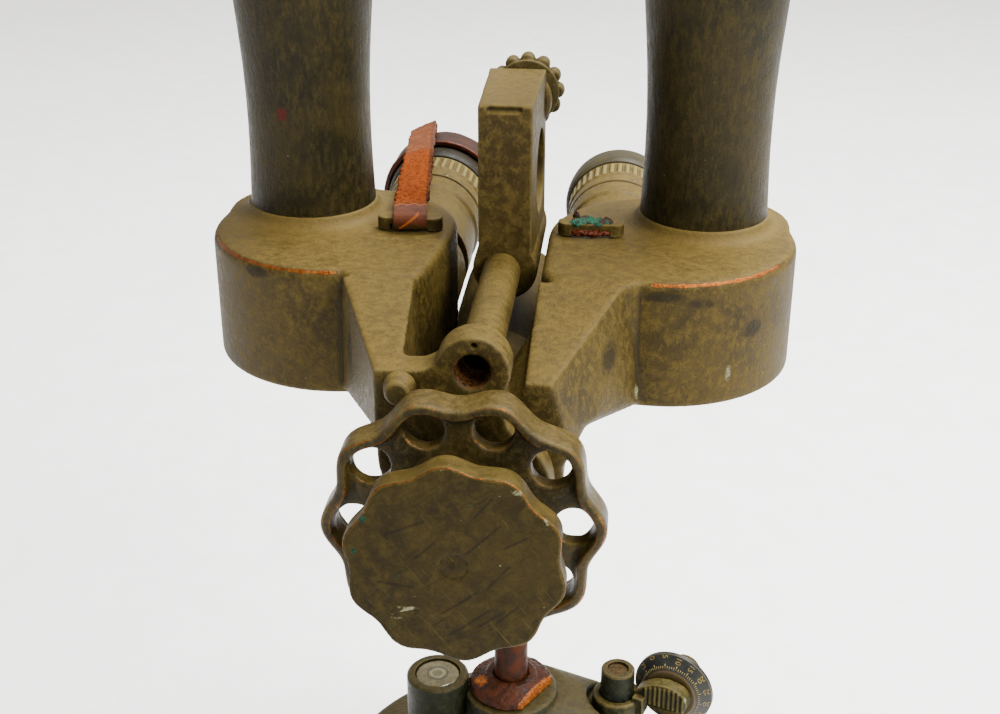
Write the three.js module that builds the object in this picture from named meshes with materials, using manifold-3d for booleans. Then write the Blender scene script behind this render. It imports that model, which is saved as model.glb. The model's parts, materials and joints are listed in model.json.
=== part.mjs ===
// Scissor-type periscopic binoculars on a graduated azimuth head.
// Millimetres, +Z up. The origin is the centre of the base's bottom face, on the azimuth axis.
// The objective windows look along -Y and the eyepieces along +Y.
// The optical head is drawn round its hinge axis (a line along Y), and the mount round the azimuth axis.

import * as THREE from "three";
import { ConvexGeometry } from "three/addons/geometries/ConvexGeometry.js";
import { mergeVertices } from "three/addons/utils/BufferGeometryUtils.js";
import Module from "manifold-3d";

const wasm = await Module();
wasm.setup();

// ---- driving dimensions -------------------------------------------------------------------------

const GAP = 0.3;                    // between pieces that touch
const HINGE_HEIGHT = 232;           // hinge axis above the base's bottom face
const HINGE_OFFSET_Y = -25;         // middle of the tubes, from the azimuth axis
const MOUNT_TURN = THREE.MathUtils.degToRad(-20.6);   // how far the mount is turned under the head

// arms, in the head's frame: hinge axis at x = 0, z = 0 and tube axes at y = 0
const TUBE_X = 58.6;
const DRUM = { x: 47, y: -12.3, radius: 38.2, bottom: 2.6, top: 40, edge: 2.6 };
const INNER_WALL_X = 13.6;
const EYE = { x: 32.5, z: 11.7 };
const WALL = 3.6;
const HEAD_PORT_Z = 258;            // axis of the window in a tube's head

// hinge stack along Y, from the front
const DISC = { front: -131, back: -123.5, radius: 25.8, lobes: 10, turn: 23.46 };
const WHEEL = { front: -114.7, back: -104, radius: 33.7, lip: 2.8, lobes: 10, turn: 2 };
const WHEEL_HOLES = { count: 10, reach: 27, radius: 4.9 };
const STOP_PIN = { x: -17, z: 30.2, front: -103.4 };
const LEFT_LUG = { front: -98, back: -88.5, radius: 21 };
const RIGHT_LUG = { front: -88.2, back: -65.2, radius: 23 };
const BARREL = { front: -64.9, shoulder: -40, waist: -35, back: 38, wide: 20, slim: 16.4 };
const BOLT_RADIUS = 6;

// accessory bracket and its rod, carried by the left lug
const ROD = { x: 1.6, seatX: 0.8, z: 34.4, radius: 5.4, bore: 4.2 };
const BRACKET = { x: 2.4, width: 15, spread: 0.9, front: -31, back: 10.8, top: 82, boss: 9.2 };
const BRACKET_HOLE = { y: -4.5, z: 55.7, radius: 12 };
const BEAD_KNOB = { x: 4.9, z: 74.4, radius: 10.1, swell: 1.05, beads: 12, flange: 9.4, thick: 7 };

// strap lugs on the housings and the strap on the left one
const LUG = { length: 19.1, width: 5.9, height: 3.8, slotLength: 11, slotHeight: 2.1 };
const LEFT_LUG_PLACE = { x: -26.75, y: -15.3 };
const RIGHT_LUG_PLACE = { x: 25.95, y: -15.3 };
const STRAP_MIDDLE = DRUM.top + GAP + (LUG.slotHeight + LUG.height) / 2;   // height of the bar's middle
const STRAP = { width: 9.8, thick: 1.5, end: 108.4, endHeight: 33.2, turn: 6.5, twist: 24 };

// mount, in its own turned frame
const COLLAR = { radius: 15.2, bottom: 77.3, top: 83.4 };
const LEVEL = { x: -25.2, y: -10.6, radius: 11.5, top: 82 };
const PIVOT = { x: 34.6, y: 20.1, radius: 6.3, top: 83 };
const LEVER = { from: 41.6, to: 62, front: 19.8, back: 25, bottom: 66.4, top: 81, ribs: 9, pitch: 1.8 };
const DIAL = { x: 53.4, y: 29.4, z: 73.5, radius: 15.2, bearing: 6.4, end: 44 };
const SPINDLE_RADIUS = 6.1;
const RING_GEAR = { radius: 60, teeth: 64 };
const PINION = { radius: 6, teeth: 8, x: 53.4, y: 39.6 };

// ---- materials ----------------------------------------------------------------------------------

function paint(color, roughness = 0.6, metalness = 0.2) {
  return new THREE.MeshStandardMaterial({ color, roughness, metalness });
}

const OLIVE = paint(0x5d5030);
const DARK_OLIVE = paint(0x3a331f);
const MOUNT_GREEN = paint(0x2f3227);
const RUST = paint(0x7a3d1d, 0.85, 0.4);
const STEEL = paint(0x8c8a84, 0.4, 0.9);
const BRASS = paint(0xa07a3a, 0.4, 0.9);
const LEATHER = paint(0x9a4a1e, 0.75, 0);
const CAP_LEATHER = paint(0x3f1d16, 0.6, 0);
const RUBBER = paint(0x3b3a38, 0.7, 0);
const BLACK = paint(0x1d1d1b, 0.5, 0.3);
const GLASS = paint(0xbfd6d6, 0.05, 0);

// ---- solids -------------------------------------------------------------------------------------

/** A closed manifold-3d solid from any closed three.js geometry. */
function solid(geometry) {
  const bare = geometry.clone();
  bare.deleteAttribute("normal");
  bare.deleteAttribute("uv");
  const merged = mergeVertices(bare, 1e-4);
  const mesh = new wasm.Mesh({
    numProp: 3,
    vertProperties: new Float32Array(merged.attributes.position.array),
    triVerts: new Uint32Array(merged.index.array),
  });
  return new wasm.Manifold(mesh);
}

/** The three.js geometry of a manifold-3d solid. */
function toGeometry(body) {
  const mesh = body.getMesh();
  const geometry = new THREE.BufferGeometry();
  geometry.setAttribute("position", new THREE.BufferAttribute(new Float32Array(mesh.vertProperties), 3));
  geometry.setIndex(new THREE.BufferAttribute(new Uint32Array(mesh.triVerts), 1));
  geometry.computeVertexNormals();
  return geometry;
}

/** First geometry joined with the others. */
function join(first, ...others) {
  return toGeometry(others.reduce((body, next) => body.add(solid(next)), solid(first)));
}

/** First geometry with the others cut away. */
function cut(first, ...others) {
  return toGeometry(others.reduce((body, next) => body.subtract(solid(next)), solid(first)));
}

/** What two geometries have in common. */
function common(first, second) {
  return toGeometry(solid(first).intersect(solid(second)));
}

/** Solid of revolution about Z: profile points are [radius, z]. */
function turnedZ(profile, segments = 18) {
  const points = profile.map(([radius, z]) => new THREE.Vector2(radius, z));
  return new THREE.LatheGeometry(points, segments).rotateX(Math.PI / 2);
}

/** Solid of revolution about Y: profile points are [radius, y]. */
function turnedY(profile, segments = 18) {
  const points = profile.map(([radius, y]) => new THREE.Vector2(radius, y));
  return new THREE.LatheGeometry(points, segments);
}

function rodY(radius, from, to, segments = 18) {
  return turnedY([[0, from], [radius, from], [radius, to], [0, to]], segments);
}

function rodZ(radius, from, to, segments = 18) {
  return turnedZ([[0, from], [radius, from], [radius, to], [0, to]], segments);
}

/** Tube about Z between two planes. */
function sleeveZ(outer, inner, from, to, segments = 18) {
  return turnedZ([[inner, from], [outer, from], [outer, to], [inner, to], [inner, from]], segments);
}

/** Outline in XY pulled from one height to another. */
function prismZ(shape, from, to, curveSegments = 12) {
  const geometry = new THREE.ExtrudeGeometry(shape, { depth: to - from, bevelEnabled: false, curveSegments });
  return geometry.translate(0, 0, from);
}

/** Outline in XZ (drawn as x, z) pulled along Y. */
function prismY(shape, from, to, curveSegments = 12) {
  const geometry = new THREE.ExtrudeGeometry(shape, { depth: to - from, bevelEnabled: false, curveSegments });
  return geometry.rotateX(Math.PI / 2).translate(0, to, 0);
}

/** Outline in YZ (drawn as y, z) pulled along X. */
function prismX(shape, from, to, curveSegments = 12) {
  const geometry = new THREE.ExtrudeGeometry(shape, { depth: to - from, bevelEnabled: false, curveSegments });
  return geometry.rotateX(Math.PI / 2).rotateZ(Math.PI / 2).translate(from, 0, 0);
}

function box(x0, x1, y0, y1, z0, z1) {
  const geometry = new THREE.BoxGeometry(x1 - x0, y1 - y0, z1 - z0);
  return geometry.translate((x0 + x1) / 2, (y0 + y1) / 2, (z0 + z1) / 2);
}

function hull(points) {
  return new ConvexGeometry(points.map(([x, y, z]) => new THREE.Vector3(x, y, z)));
}

function polygon(points) {
  return new THREE.Shape(points.map(([x, y]) => new THREE.Vector2(x, y)));
}

/** Closed outline whose radius swells once per lobe. */
function lobed(radius, swell, lobes, turnDegrees, steps = 4) {
  const count = lobes * steps;
  const turn = THREE.MathUtils.degToRad(turnDegrees);
  const points = [];
  for (let i = 0; i < count; i += 1) {
    const angle = (i / count) * 2 * Math.PI;
    const reach = radius + swell * Math.cos(lobes * (angle - turn));
    points.push([reach * Math.cos(angle), reach * Math.sin(angle)]);
  }
  return polygon(points);
}

// ---- the assembly -------------------------------------------------------------------------------

const object = new THREE.Group();
const head = new THREE.Group();
head.position.set(0, HINGE_OFFSET_Y, HINGE_HEIGHT);
const mount = new THREE.Group();
mount.rotation.z = MOUNT_TURN;
object.add(head, mount);

function add(group, name, geometry, material) {
  const mesh = new THREE.Mesh(geometry, material);
  mesh.name = name;
  group.add(mesh);
}

// ---- arms ---------------------------------------------------------------------------------------

/** Plan outline of a prism housing: a round drum whose inner side runs on towards the spur. */
function housingOutline(side, inset = 0) {
  const radius = DRUM.radius - inset;
  const inner = INNER_WALL_X + inset;
  const innerRadius = DRUM.x - inner;
  const points = [];
  const outerSteps = 20;
  for (let i = 0; i <= outerSteps; i += 1) {
    const angle = THREE.MathUtils.degToRad(-100 + (190 * i) / outerSteps);
    points.push([side * (DRUM.x + radius * Math.cos(angle)), DRUM.y + radius * Math.sin(angle)]);
  }
  const innerSteps = 5;
  for (let i = 0; i <= innerSteps; i += 1) {
    const angle = THREE.MathUtils.degToRad(96 + (84 * i) / innerSteps);
    points.push([side * (DRUM.x + innerRadius * Math.cos(angle)), DRUM.y + innerRadius * Math.sin(angle)]);
  }
  const frontReach = side > 0
    ? [[inner, -44], [inner + 4, -52], [36, -54 + inset]]
    : [[inner + 0.4, -20], [inner + 4.2, -47], [inner + 6, -52], [36, -54 + inset]];
  frontReach.forEach(([x, y]) => points.push([side * x, Math.min(y + inset, y)]));
  return polygon(side > 0 ? points : points.reverse());
}

/** Web and round knuckle that carry the left arm on the hinge bolt, with the boss for the rod. */
function leftLug() {
  const plate = polygon([
    [-23.5, 34], [-16.9, 34], [-9, 34.6], [-6, 37.4], [ROD.x, ROD.z], [14, 12], [0, -LEFT_LUG.radius],
    [-14, -16], [-20, -6], [-23.5, 8],
  ]);
  const boss = rodY(9.4, LEFT_LUG.front, LEFT_LUG.back).translate(ROD.seatX, 0, ROD.z);
  const knuckle = rodY(LEFT_LUG.radius, LEFT_LUG.front, LEFT_LUG.back, 20);
  return join(prismY(plate, LEFT_LUG.front, LEFT_LUG.back), boss, knuckle);
}

function leftSpur() {
  return hull([
    [-40, -52, 39.6], [-20.3, -50, 39.6], [-23.5, LEFT_LUG.front, 34], [-16.9, LEFT_LUG.front, 34],
    [-43, -46, 3.2], [-18, -46, 3.2], [-23.5, LEFT_LUG.front, 17], [-16.6, LEFT_LUG.front, 17],
  ]);
}

/** Web and knuckle that carry the right arm on the hinge bolt. */
function rightLug() {
  const web = hull([
    [13.6, -66, 33], [26, -66, 33], [31, -66, 12], [27, -66, 4], [12, -66, -18], [0, -66, 10],
    [13.6, -88.2, 27], [19.5, -88.2, 27], [25, -88.2, 8], [22, -88.2, 2], [12, -88.2, -18], [0, -88.2, 10],
  ]);
  return join(web, rodY(RIGHT_LUG.radius, RIGHT_LUG.front, RIGHT_LUG.back, 20));
}

function rightSpur() {
  return hull([
    [13.4, -50, 39.6], [36, -53, 39.6], [12.6, RIGHT_LUG.front, 27], [19.5, RIGHT_LUG.front, 27],
    [14.2, -48, 8], [43, -48, 3.2], [12.6, RIGHT_LUG.front, 14], [21, RIGHT_LUG.front, 12],
    [35.8, -62, 8.6], [31, -75, 12],
  ]);
}

/** Casting of one arm: prism drum, spur, hinge knuckle and the seat of the eyepiece. */
function prismHousing(side) {
  const lower = prismZ(housingOutline(side), DRUM.bottom, DRUM.top - DRUM.edge);
  const upper = prismZ(housingOutline(side, DRUM.edge * 0.35), DRUM.top - DRUM.edge - 0.5, DRUM.top - 1);
  const crown = prismZ(housingOutline(side, DRUM.edge), DRUM.top - 1.5, DRUM.top);
  const seat = turnedY([[0, -6], [17.2, -6], [17.2, 24], [15.3, 24.8], [15.3, 30], [0, 30]])
    .translate(side * EYE.x, 0, EYE.z);
  const hinge = side < 0 ? [leftLug(), leftSpur()] : [rightLug(), rightSpur()];
  const body = join(lower, upper, crown, seat, ...hinge);
  const pocket = prismCavity(side);
  const lightWell = rodZ(13, 20, 60, 20).translate(side * TUBE_X, 0, 0);
  const eyeBore = rodY(12.3, 0, 40, 20).translate(side * EYE.x, 0, EYE.z);
  const boltBore = rodY(BOLT_RADIUS + 0.25, -120, -60, 24);
  const barrelRoom = turnedY([
    [0, RIGHT_LUG.back], [BARREL.wide + 0.5, RIGHT_LUG.back], [BARREL.wide + 0.5, BARREL.shoulder + 2],
    [BARREL.slim + 0.5, BARREL.waist + 0.5], [BARREL.slim + 0.5, 60], [0, 60],
  ], 28);
  const cuts = [pocket, lightWell, eyeBore, boltBore, barrelRoom];
  const belowDrum = box(-100, 100, -64, 60, -60, DRUM.bottom);
  cuts.push(common(belowDrum, rodY(30, -64, 60).translate(side * EYE.x, 0, -5)));
  if (side < 0) {
    cuts.push(rodY(RIGHT_LUG.radius + 0.6, LEFT_LUG.back, RIGHT_LUG.back + 1, 28));
    const countersink = turnedY([
      [0, -98.5], [ROD.bore + 1.4, -98.5], [ROD.bore - 0.1, -96.6], [0, -96.6],
    ], 24);
    const lockPinHole = rodY(0.8, -99, -93, 10);
    cuts.push(rodY(ROD.bore, -110, -80, 24).translate(ROD.seatX, 0, ROD.z));
    cuts.push(countersink.translate(ROD.seatX, 0, ROD.z));
    cuts.push(lockPinHole.translate(ROD.seatX + 0.4, 0, ROD.z + 7));
  }
  return cut(body, ...cuts);
}

/** Room for the prisms, open at the bottom where the cover closes it. */
function prismCavity(side) {
  const radius = DRUM.radius - WALL;
  const drum = rodZ(radius, DRUM.bottom - 5, DRUM.top - WALL, 20).translate(side * DRUM.x, DRUM.y, 0);
  const innerLimit = side > 0 ? INNER_WALL_X + WALL : -100;
  const outerLimit = side > 0 ? 100 : -(INNER_WALL_X + WALL);
  return common(drum, box(innerLimit, outerLimit, -46, 20, DRUM.bottom - 5, DRUM.top - WALL));
}

function bottomCover(side) {
  const radius = DRUM.radius - WALL - GAP;
  const disc = rodZ(radius, DRUM.bottom, DRUM.bottom + 2.2, 20).translate(side * DRUM.x, DRUM.y, 0);
  const innerLimit = side > 0 ? INNER_WALL_X + WALL + GAP : -100;
  const outerLimit = side > 0 ? 100 : -(INNER_WALL_X + WALL + GAP);
  return common(disc, box(innerLimit, outerLimit, -45.7, 19.7, 0, 10));
}

/** Right-angle prism under the tube: turns the downward beam inwards. */
function lowerPrism(side) {
  const x0 = side * (TUBE_X - 11);
  const x1 = side * (TUBE_X + 11);
  return hull([[x0, -11, 25], [x1, -11, 25], [x0, -11, 5.4], [x0, 11, 25], [x1, 11, 25], [x0, 11, 5.4]]);
}

/** Right-angle prism on the eyepiece axis: turns the beam back towards the eye. */
function turningPrism(side) {
  const x0 = side * (EYE.x - 10);
  const x1 = side * (EYE.x + 10);
  return hull([[x0, -2, 5.4], [x1, -2, 5.4], [x1, -22, 5.4], [x0, -2, 22], [x1, -2, 22], [x1, -22, 22]]);
}

/** Long sight tube, waisted above its foot and widening towards the head. */
function tube() {
  const outer = [
    [22.6, 40.3], [20.2, 41.2], [18.7, 44], [18.0, 66], [18.2, 80], [19.9, 104], [21.5, 126], [22, 150],
    [22, 232],
  ];
  const inner = [[19.6, 232], [19.6, 150], [15.8, 76], [15.8, 40.3]];
  return turnedZ([...outer, ...inner, outer[0]], 20);
}

/** Head of a sight tube with the side port for its window. */
function periscopeHead() {
  const shell = turnedZ([[0, 232.3], [24.5, 232.3], [25.5, 234], [25.5, 284], [0, 284]], 20);
  const port = rodY(20, -36, 0, 20).translate(0, 0, HEAD_PORT_Z);
  const hollow = turnedZ([[0, 230], [19.6, 230], [19.6, 236], [22.8, 236], [22.8, 290], [0, 290]], 24);
  const portBore = rodY(17, -40, 0, 24).translate(0, 0, HEAD_PORT_Z);
  return cut(join(shell, port), hollow, portBore);
}

function headCap() {
  const profile = [[0, 284.3], [26.2, 284.3], [26.2, 289], [23, 293], [8, 295.5], [7, 298.4], [0, 298.6]];
  const cap = turnedZ(profile, 36);
  const spigot = rodZ(22.3, 280, 286, 24);
  return join(cap, spigot);
}

/** Upper prism, behind the window: turns the view down the tube. */
function headPrism() {
  return hull([
    [-13, -13, 244], [13, -13, 244], [-13, -13, 270], [13, -13, 270], [-13, 13, 244], [13, 13, 244],
  ]);
}

function windowRing() {
  const profile = [
    [16.6, -36.3], [16.6, -41], [17.2, -42], [19.6, -42], [20.6, -41], [20.6, -36.3], [16.6, -36.3],
  ];
  return turnedY(profile, 36).translate(0, 0, HEAD_PORT_Z);
}

function windowGlass() {
  return rodY(16.4, -40.2, -36.8, 24).translate(0, 0, HEAD_PORT_Z);
}

function objectiveLens() {
  return turnedZ([[0, 205], [14, 206.6], [19.2, 207], [19.2, 212], [0, 214]], 24);
}

/** Fixed part of an eyepiece: stepped cone ending in the threaded sleeve that the ring turns on. */
function eyepieceBarrel() {
  return turnedY([
    [9.6, 30.3], [17.2, 30.3], [17.2, 44], [16.6, 45], [16.6, 56], [17.4, 57], [17.4, 67.6], [13.6, 67.6],
    [13.6, 92], [9.6, 92], [9.6, 30.3],
  ], 20);
}

/** Dioptre ring: plain marked band, then ribs round the rest. */
function diopterRing() {
  const ribs = 24;
  const outline = lobed(17.6, 0.35, ribs, 0, 2);
  const ribbed = prismY(outline, 75, 86, 1);
  const band = turnedY([[0, 68.3], [17.3, 68.3], [17.5, 69], [17.5, 75.5], [0, 75.5]], 20);
  const neck = rodY(15.6, 85, 91, 20);
  return cut(join(ribbed, band, neck), rodY(14, 60, 99, 26));
}

function eyecup() {
  return turnedY([
    [15.9, 86.3], [18.4, 86.3], [19.2, 91], [19, 98], [14.6, 105.4], [12.4, 104.6], [12.4, 92.4],
    [15.9, 92.4], [15.9, 86.3],
  ], 20);
}

function lens(radius, from, middle, to) {
  return turnedY([[0, from], [radius, from + middle], [radius, to - middle], [0, to]], 20);
}

/** Strap lug on the top of a housing: a low bar with rounded ends and a slot under its middle. */
function lugBar(place) {
  const end = LUG.width / 2;
  const reach = LUG.length / 2 - end;
  const plan = new THREE.Shape();
  plan.absarc(reach, 0, end, -Math.PI / 2, Math.PI / 2, false);
  plan.absarc(-reach, 0, end, Math.PI / 2, 1.5 * Math.PI, false);
  const foot = DRUM.top + GAP;
  const slotReach = LUG.slotLength / 2;
  const slot = box(-slotReach, slotReach, -LUG.width, LUG.width, foot - 1, foot + LUG.slotHeight);
  return cut(prismZ(plan, foot, foot + LUG.height, 8), slot).translate(place.x, place.y, 0);
}

for (const side of [-1, 1]) {
  const label = side < 0 ? "left" : "right";
  const atTube = (geometry) => geometry.translate(side * TUBE_X, 0, 0);
  const atEye = (geometry) => geometry.translate(side * EYE.x, 0, EYE.z);
  add(head, `${label}_prism_housing`, prismHousing(side), OLIVE);
  add(head, `${label}_bottom_cover`, bottomCover(side), DARK_OLIVE);
  add(head, `${label}_lower_prism`, lowerPrism(side), GLASS);
  add(head, `${label}_turning_prism`, turningPrism(side), GLASS);
  add(head, `${label}_tube`, atTube(tube()), DARK_OLIVE);
  add(head, `${label}_objective_lens`, atTube(objectiveLens()), GLASS);
  add(head, `${label}_head`, atTube(periscopeHead()), OLIVE);
  add(head, `${label}_head_cap`, atTube(headCap()), OLIVE);
  add(head, `${label}_head_prism`, atTube(headPrism()), GLASS);
  add(head, `${label}_window_ring`, atTube(windowRing()), BRASS);
  add(head, `${label}_window_glass`, atTube(windowGlass()), GLASS);
  add(head, `${label}_eyepiece_barrel`, atEye(eyepieceBarrel()), OLIVE);
  add(head, `${label}_field_lens`, atEye(lens(9.3, 48, 1.6, 55)), GLASS);
  add(head, `${label}_eye_lens`, atEye(lens(9.3, 84, 1.2, 90)), GLASS);
  add(head, `${label}_diopter_ring`, atEye(diopterRing()), OLIVE);
  add(head, `${label}_eyecup`, atEye(eyecup()), RUBBER);
}
add(head, "left_lug_bar", lugBar(LEFT_LUG_PLACE), OLIVE);
add(head, "right_lug_bar", lugBar(RIGHT_LUG_PLACE), OLIVE);

// ---- hinge --------------------------------------------------------------------------------------

/** Fixed hinge barrel between the arms, with the socket that stands on the spindle. */
function hingeBody() {
  const barrel = turnedY([
    [0, BARREL.front], [BARREL.wide, BARREL.front], [BARREL.wide, BARREL.shoulder],
    [BARREL.wide - 2, BARREL.shoulder + 4], [BARREL.slim, BARREL.waist], [BARREL.slim, BARREL.back - 2],
    [BARREL.slim - 2, BARREL.back], [0, BARREL.back],
  ], 20);
  const stem = turnedZ([[0, -48], [10, -48], [11, -46], [11, 0], [0, 0]], 24)
    .translate(0, -HINGE_OFFSET_Y, 0);
  const bore = rodY(BOLT_RADIUS + 0.3, -80, -30, 20);
  const socket = rodZ(SPINDLE_RADIUS + 0.3, -60, -28, 20).translate(0, -HINGE_OFFSET_Y, 0);
  return cut(join(barrel, stem), bore, socket);
}

function hingeBolt() {
  return turnedY([
    [0, -121.6], [3.6, -121.6], [3.6, -112], [BOLT_RADIUS, -112], [BOLT_RADIUS, -33], [0, -33],
  ], 20);
}

/** Clamping hand wheel: scalloped rim, recessed web with a hole under each lobe. */
function ringWheel() {
  const rim = prismY(lobed(WHEEL.radius, 1.5, WHEEL.lobes, WHEEL.turn), WHEEL.front, WHEEL.back, 1);
  const pocket = lobed(WHEEL.radius - WHEEL.lip, 1.5, WHEEL.lobes, WHEEL.turn);
  const frontPocket = prismY(pocket, WHEEL.front - 1, WHEEL.front + 2.8, 1);
  const backPocket = prismY(pocket, WHEEL.back - 3.5, WHEEL.back + 1, 1);
  const hub = rodY(13, WHEEL.front + 1, LEFT_LUG.front - GAP, 24);
  const cuts = [rodY(BOLT_RADIUS + 0.3, -130, -80, 20)];
  for (let i = 0; i < WHEEL_HOLES.count; i += 1) {
    const angle = THREE.MathUtils.degToRad(WHEEL.turn + (360 / WHEEL_HOLES.count) * i);
    const { reach, radius } = WHEEL_HOLES;
    cuts.push(rodY(radius, -130, -80, 9).translate(reach * Math.cos(angle), 0, reach * Math.sin(angle)));
  }
  return cut(join(cut(rim, frontPocket, backPocket), hub), ...cuts);
}

/** Front hand knob: scalloped disc on a hub, bored for the nose of the bolt. */
function frontKnob() {
  const disc = prismY(lobed(DISC.radius, 0.9, DISC.lobes, DISC.turn), DISC.front, DISC.back, 1);
  const hub = rodY(11, DISC.back - 1, WHEEL.front + 0.7, 24);
  return cut(join(disc, hub), rodY(3.9, -124, -100, 20));
}

function stopPin() {
  const { x, z, front } = STOP_PIN;
  const back = LEFT_LUG.front - GAP;
  const profile = [[0, front], [2.6, front], [3.2, front + 0.6], [4.2, back], [0, back]];
  return turnedY(profile, 20).translate(x, 0, z);
}

add(head, "hinge_body", hingeBody(), DARK_OLIVE);
add(head, "hinge_bolt", hingeBolt(), STEEL);
add(head, "clamp_wheel", ringWheel(), OLIVE);
add(head, "front_knob", frontKnob(), OLIVE);
add(head, "stop_pin", stopPin(), OLIVE);

// ---- bracket, rod and eyepiece cap ------------------------------------------------------------------

function bracketRod() {
  const rod = turnedY([
    [0, LEFT_LUG.back + GAP], [6.4, LEFT_LUG.back + GAP], [6.4, -84], [ROD.radius, -83],
    [ROD.radius, BRACKET.front - GAP], [4, BRACKET.front - GAP], [4, BRACKET.back - 4], [0, BRACKET.back - 4],
  ], 20);
  const bore = rodY(ROD.bore, -95, -74, 24);
  return cut(rod, bore).translate(ROD.x, 0, ROD.z);
}

/** Upright stirrup on the rod: a bar that widens to the back, with a round hole through its sides. */
function bracket() {
  const cornerRadius = 3.5;
  const outline = new THREE.Shape();
  outline.moveTo(BRACKET.front, ROD.z);
  outline.lineTo(BRACKET.back, ROD.z);
  outline.lineTo(BRACKET.back, BRACKET.top - cornerRadius);
  outline.quadraticCurveTo(BRACKET.back, BRACKET.top, BRACKET.back - cornerRadius, BRACKET.top);
  outline.lineTo(BRACKET.front + 1, BRACKET.top);
  outline.lineTo(BRACKET.front, BRACKET.top - 1);
  const half = BRACKET.width / 2;
  const backHalf = half + BRACKET.spread;
  const plan = polygon([
    [-half, BRACKET.front], [half, BRACKET.front], [backHalf, BRACKET.back], [-backHalf, BRACKET.back],
  ]);
  const bar = common(prismX(outline, -backHalf, backHalf, 6), prismZ(plan, ROD.z, BRACKET.top));
  const boss = rodY(BRACKET.boss, BRACKET.front, BRACKET.back, 24).translate(0, 0, ROD.z);
  const hole = prismX(lobed(BRACKET_HOLE.radius, 0, 1, 0, 28), -20, 20, 1)
    .translate(0, BRACKET_HOLE.y, BRACKET_HOLE.z);
  const bore = rodY(4.1, -60, 20, 24).translate(ROD.x - BRACKET.x, 0, ROD.z);
  const groove = box(-5, 4.6, BRACKET.front - 1, BRACKET.front + 1.2, BRACKET.top - 2.2, BRACKET.top + 1);
  return cut(join(bar, boss), hole, bore, groove).translate(BRACKET.x, 0, 0);
}

/** Beaded thumb knob behind the top of the bracket: a flange with a ring of beads. */
function bracketKnob() {
  const start = BRACKET.back + GAP;
  const flange = rodY(BEAD_KNOB.flange, start, start + 1.4, 24);
  const beads = lobed(BEAD_KNOB.radius, BEAD_KNOB.swell, BEAD_KNOB.beads, 0, 6);
  const ring = prismY(beads, start + 1, start + BEAD_KNOB.thick, 1);
  return join(flange, ring).translate(BEAD_KNOB.x, 0, BEAD_KNOB.z);
}

/** Corners of the strap's section at a share of its way back: it twists until it lies on the cap. */
function strapSection(share, start, rise) {
  const half = STRAP.width / 2;
  const tilt = THREE.MathUtils.degToRad(STRAP.twist) * share;
  const y = start + share * (STRAP.end - LEFT_LUG_PLACE.y - start);
  const z = rise + share * (STRAP.endHeight - STRAP_MIDDLE - rise);
  return [[-half, 0], [half, 0], [half, STRAP.thick], [-half, STRAP.thick]].map(([across, up]) => [
    across * Math.cos(tilt) - up * Math.sin(tilt), y, z + across * Math.sin(tilt) + up * Math.cos(tilt),
  ]);
}

/** Leather strap: looped through the left lug and laid back to the far edge of the eyepiece cap. */
function leatherStrap() {
  const half = STRAP.width / 2;
  const room = { y: LUG.width / 2 + GAP, z: (LUG.height - LUG.slotHeight) / 2 + GAP };
  const outer = { y: room.y + STRAP.thick, z: room.z + STRAP.thick };
  const loop = cut(
    box(-half, half, -outer.y, outer.y, -outer.z, outer.z),
    box(-half - 1, half + 1, -room.y, room.y, -room.z, room.z),
  );
  const spans = 6;
  const lengths = [];
  for (let i = 0; i < spans; i += 1) {
    const ends = [i / spans, (i + 1) / spans].map((share) => strapSection(share, room.y + 0.4, room.z));
    lengths.push(hull(ends.flat()));
  }
  const back = join(...lengths).rotateZ(THREE.MathUtils.degToRad(STRAP.turn));
  return join(loop, back).translate(LEFT_LUG_PLACE.x, LEFT_LUG_PLACE.y, STRAP_MIDDLE);
}

/** Stiff leather cap over the left eyecup. */
function leatherCap() {
  return turnedY([
    [0, 106.4], [19.5, 106.4], [19.8, 93], [21.4, 93], [21.2, 107.4], [19.6, 108.6], [0, 108.6],
  ], 20).translate(-EYE.x, 0, EYE.z);
}

add(head, "bracket_rod", bracketRod(), OLIVE);
add(head, "bracket", bracket(), DARK_OLIVE);
add(head, "bracket_knob", bracketKnob(), OLIVE);
add(head, "leather_strap", leatherStrap(), LEATHER);
add(head, "leather_cap", leatherCap(), CAP_LEATHER);

// ---- mount --------------------------------------------------------------------------------------

function baseFlange() {
  return turnedZ([[0, 0], [60, 0], [62, 2], [62, 7], [60, 9], [0, 9]], 26);
}

function pedestal() {
  return turnedZ([[0, 9.3], [50, 9.3], [50, 14], [46, 16], [46, 19.7], [0, 19.7]], 28);
}

/** Toothed azimuth ring, fixed to the pedestal. */
function ringGear() {
  const teeth = prismZ(lobed(RING_GEAR.radius - 1, 1, RING_GEAR.teeth, 0, 2), 20, 27, 1);
  return cut(teeth, rodZ(30, 10, 40, 24));
}

function discPoints(x, y, radius, z, count = 14) {
  const points = [];
  for (let i = 0; i < count; i += 1) {
    const angle = (i / count) * 2 * Math.PI;
    points.push([x + radius * Math.cos(angle), y + radius * Math.sin(angle), z]);
  }
  return points;
}

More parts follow.
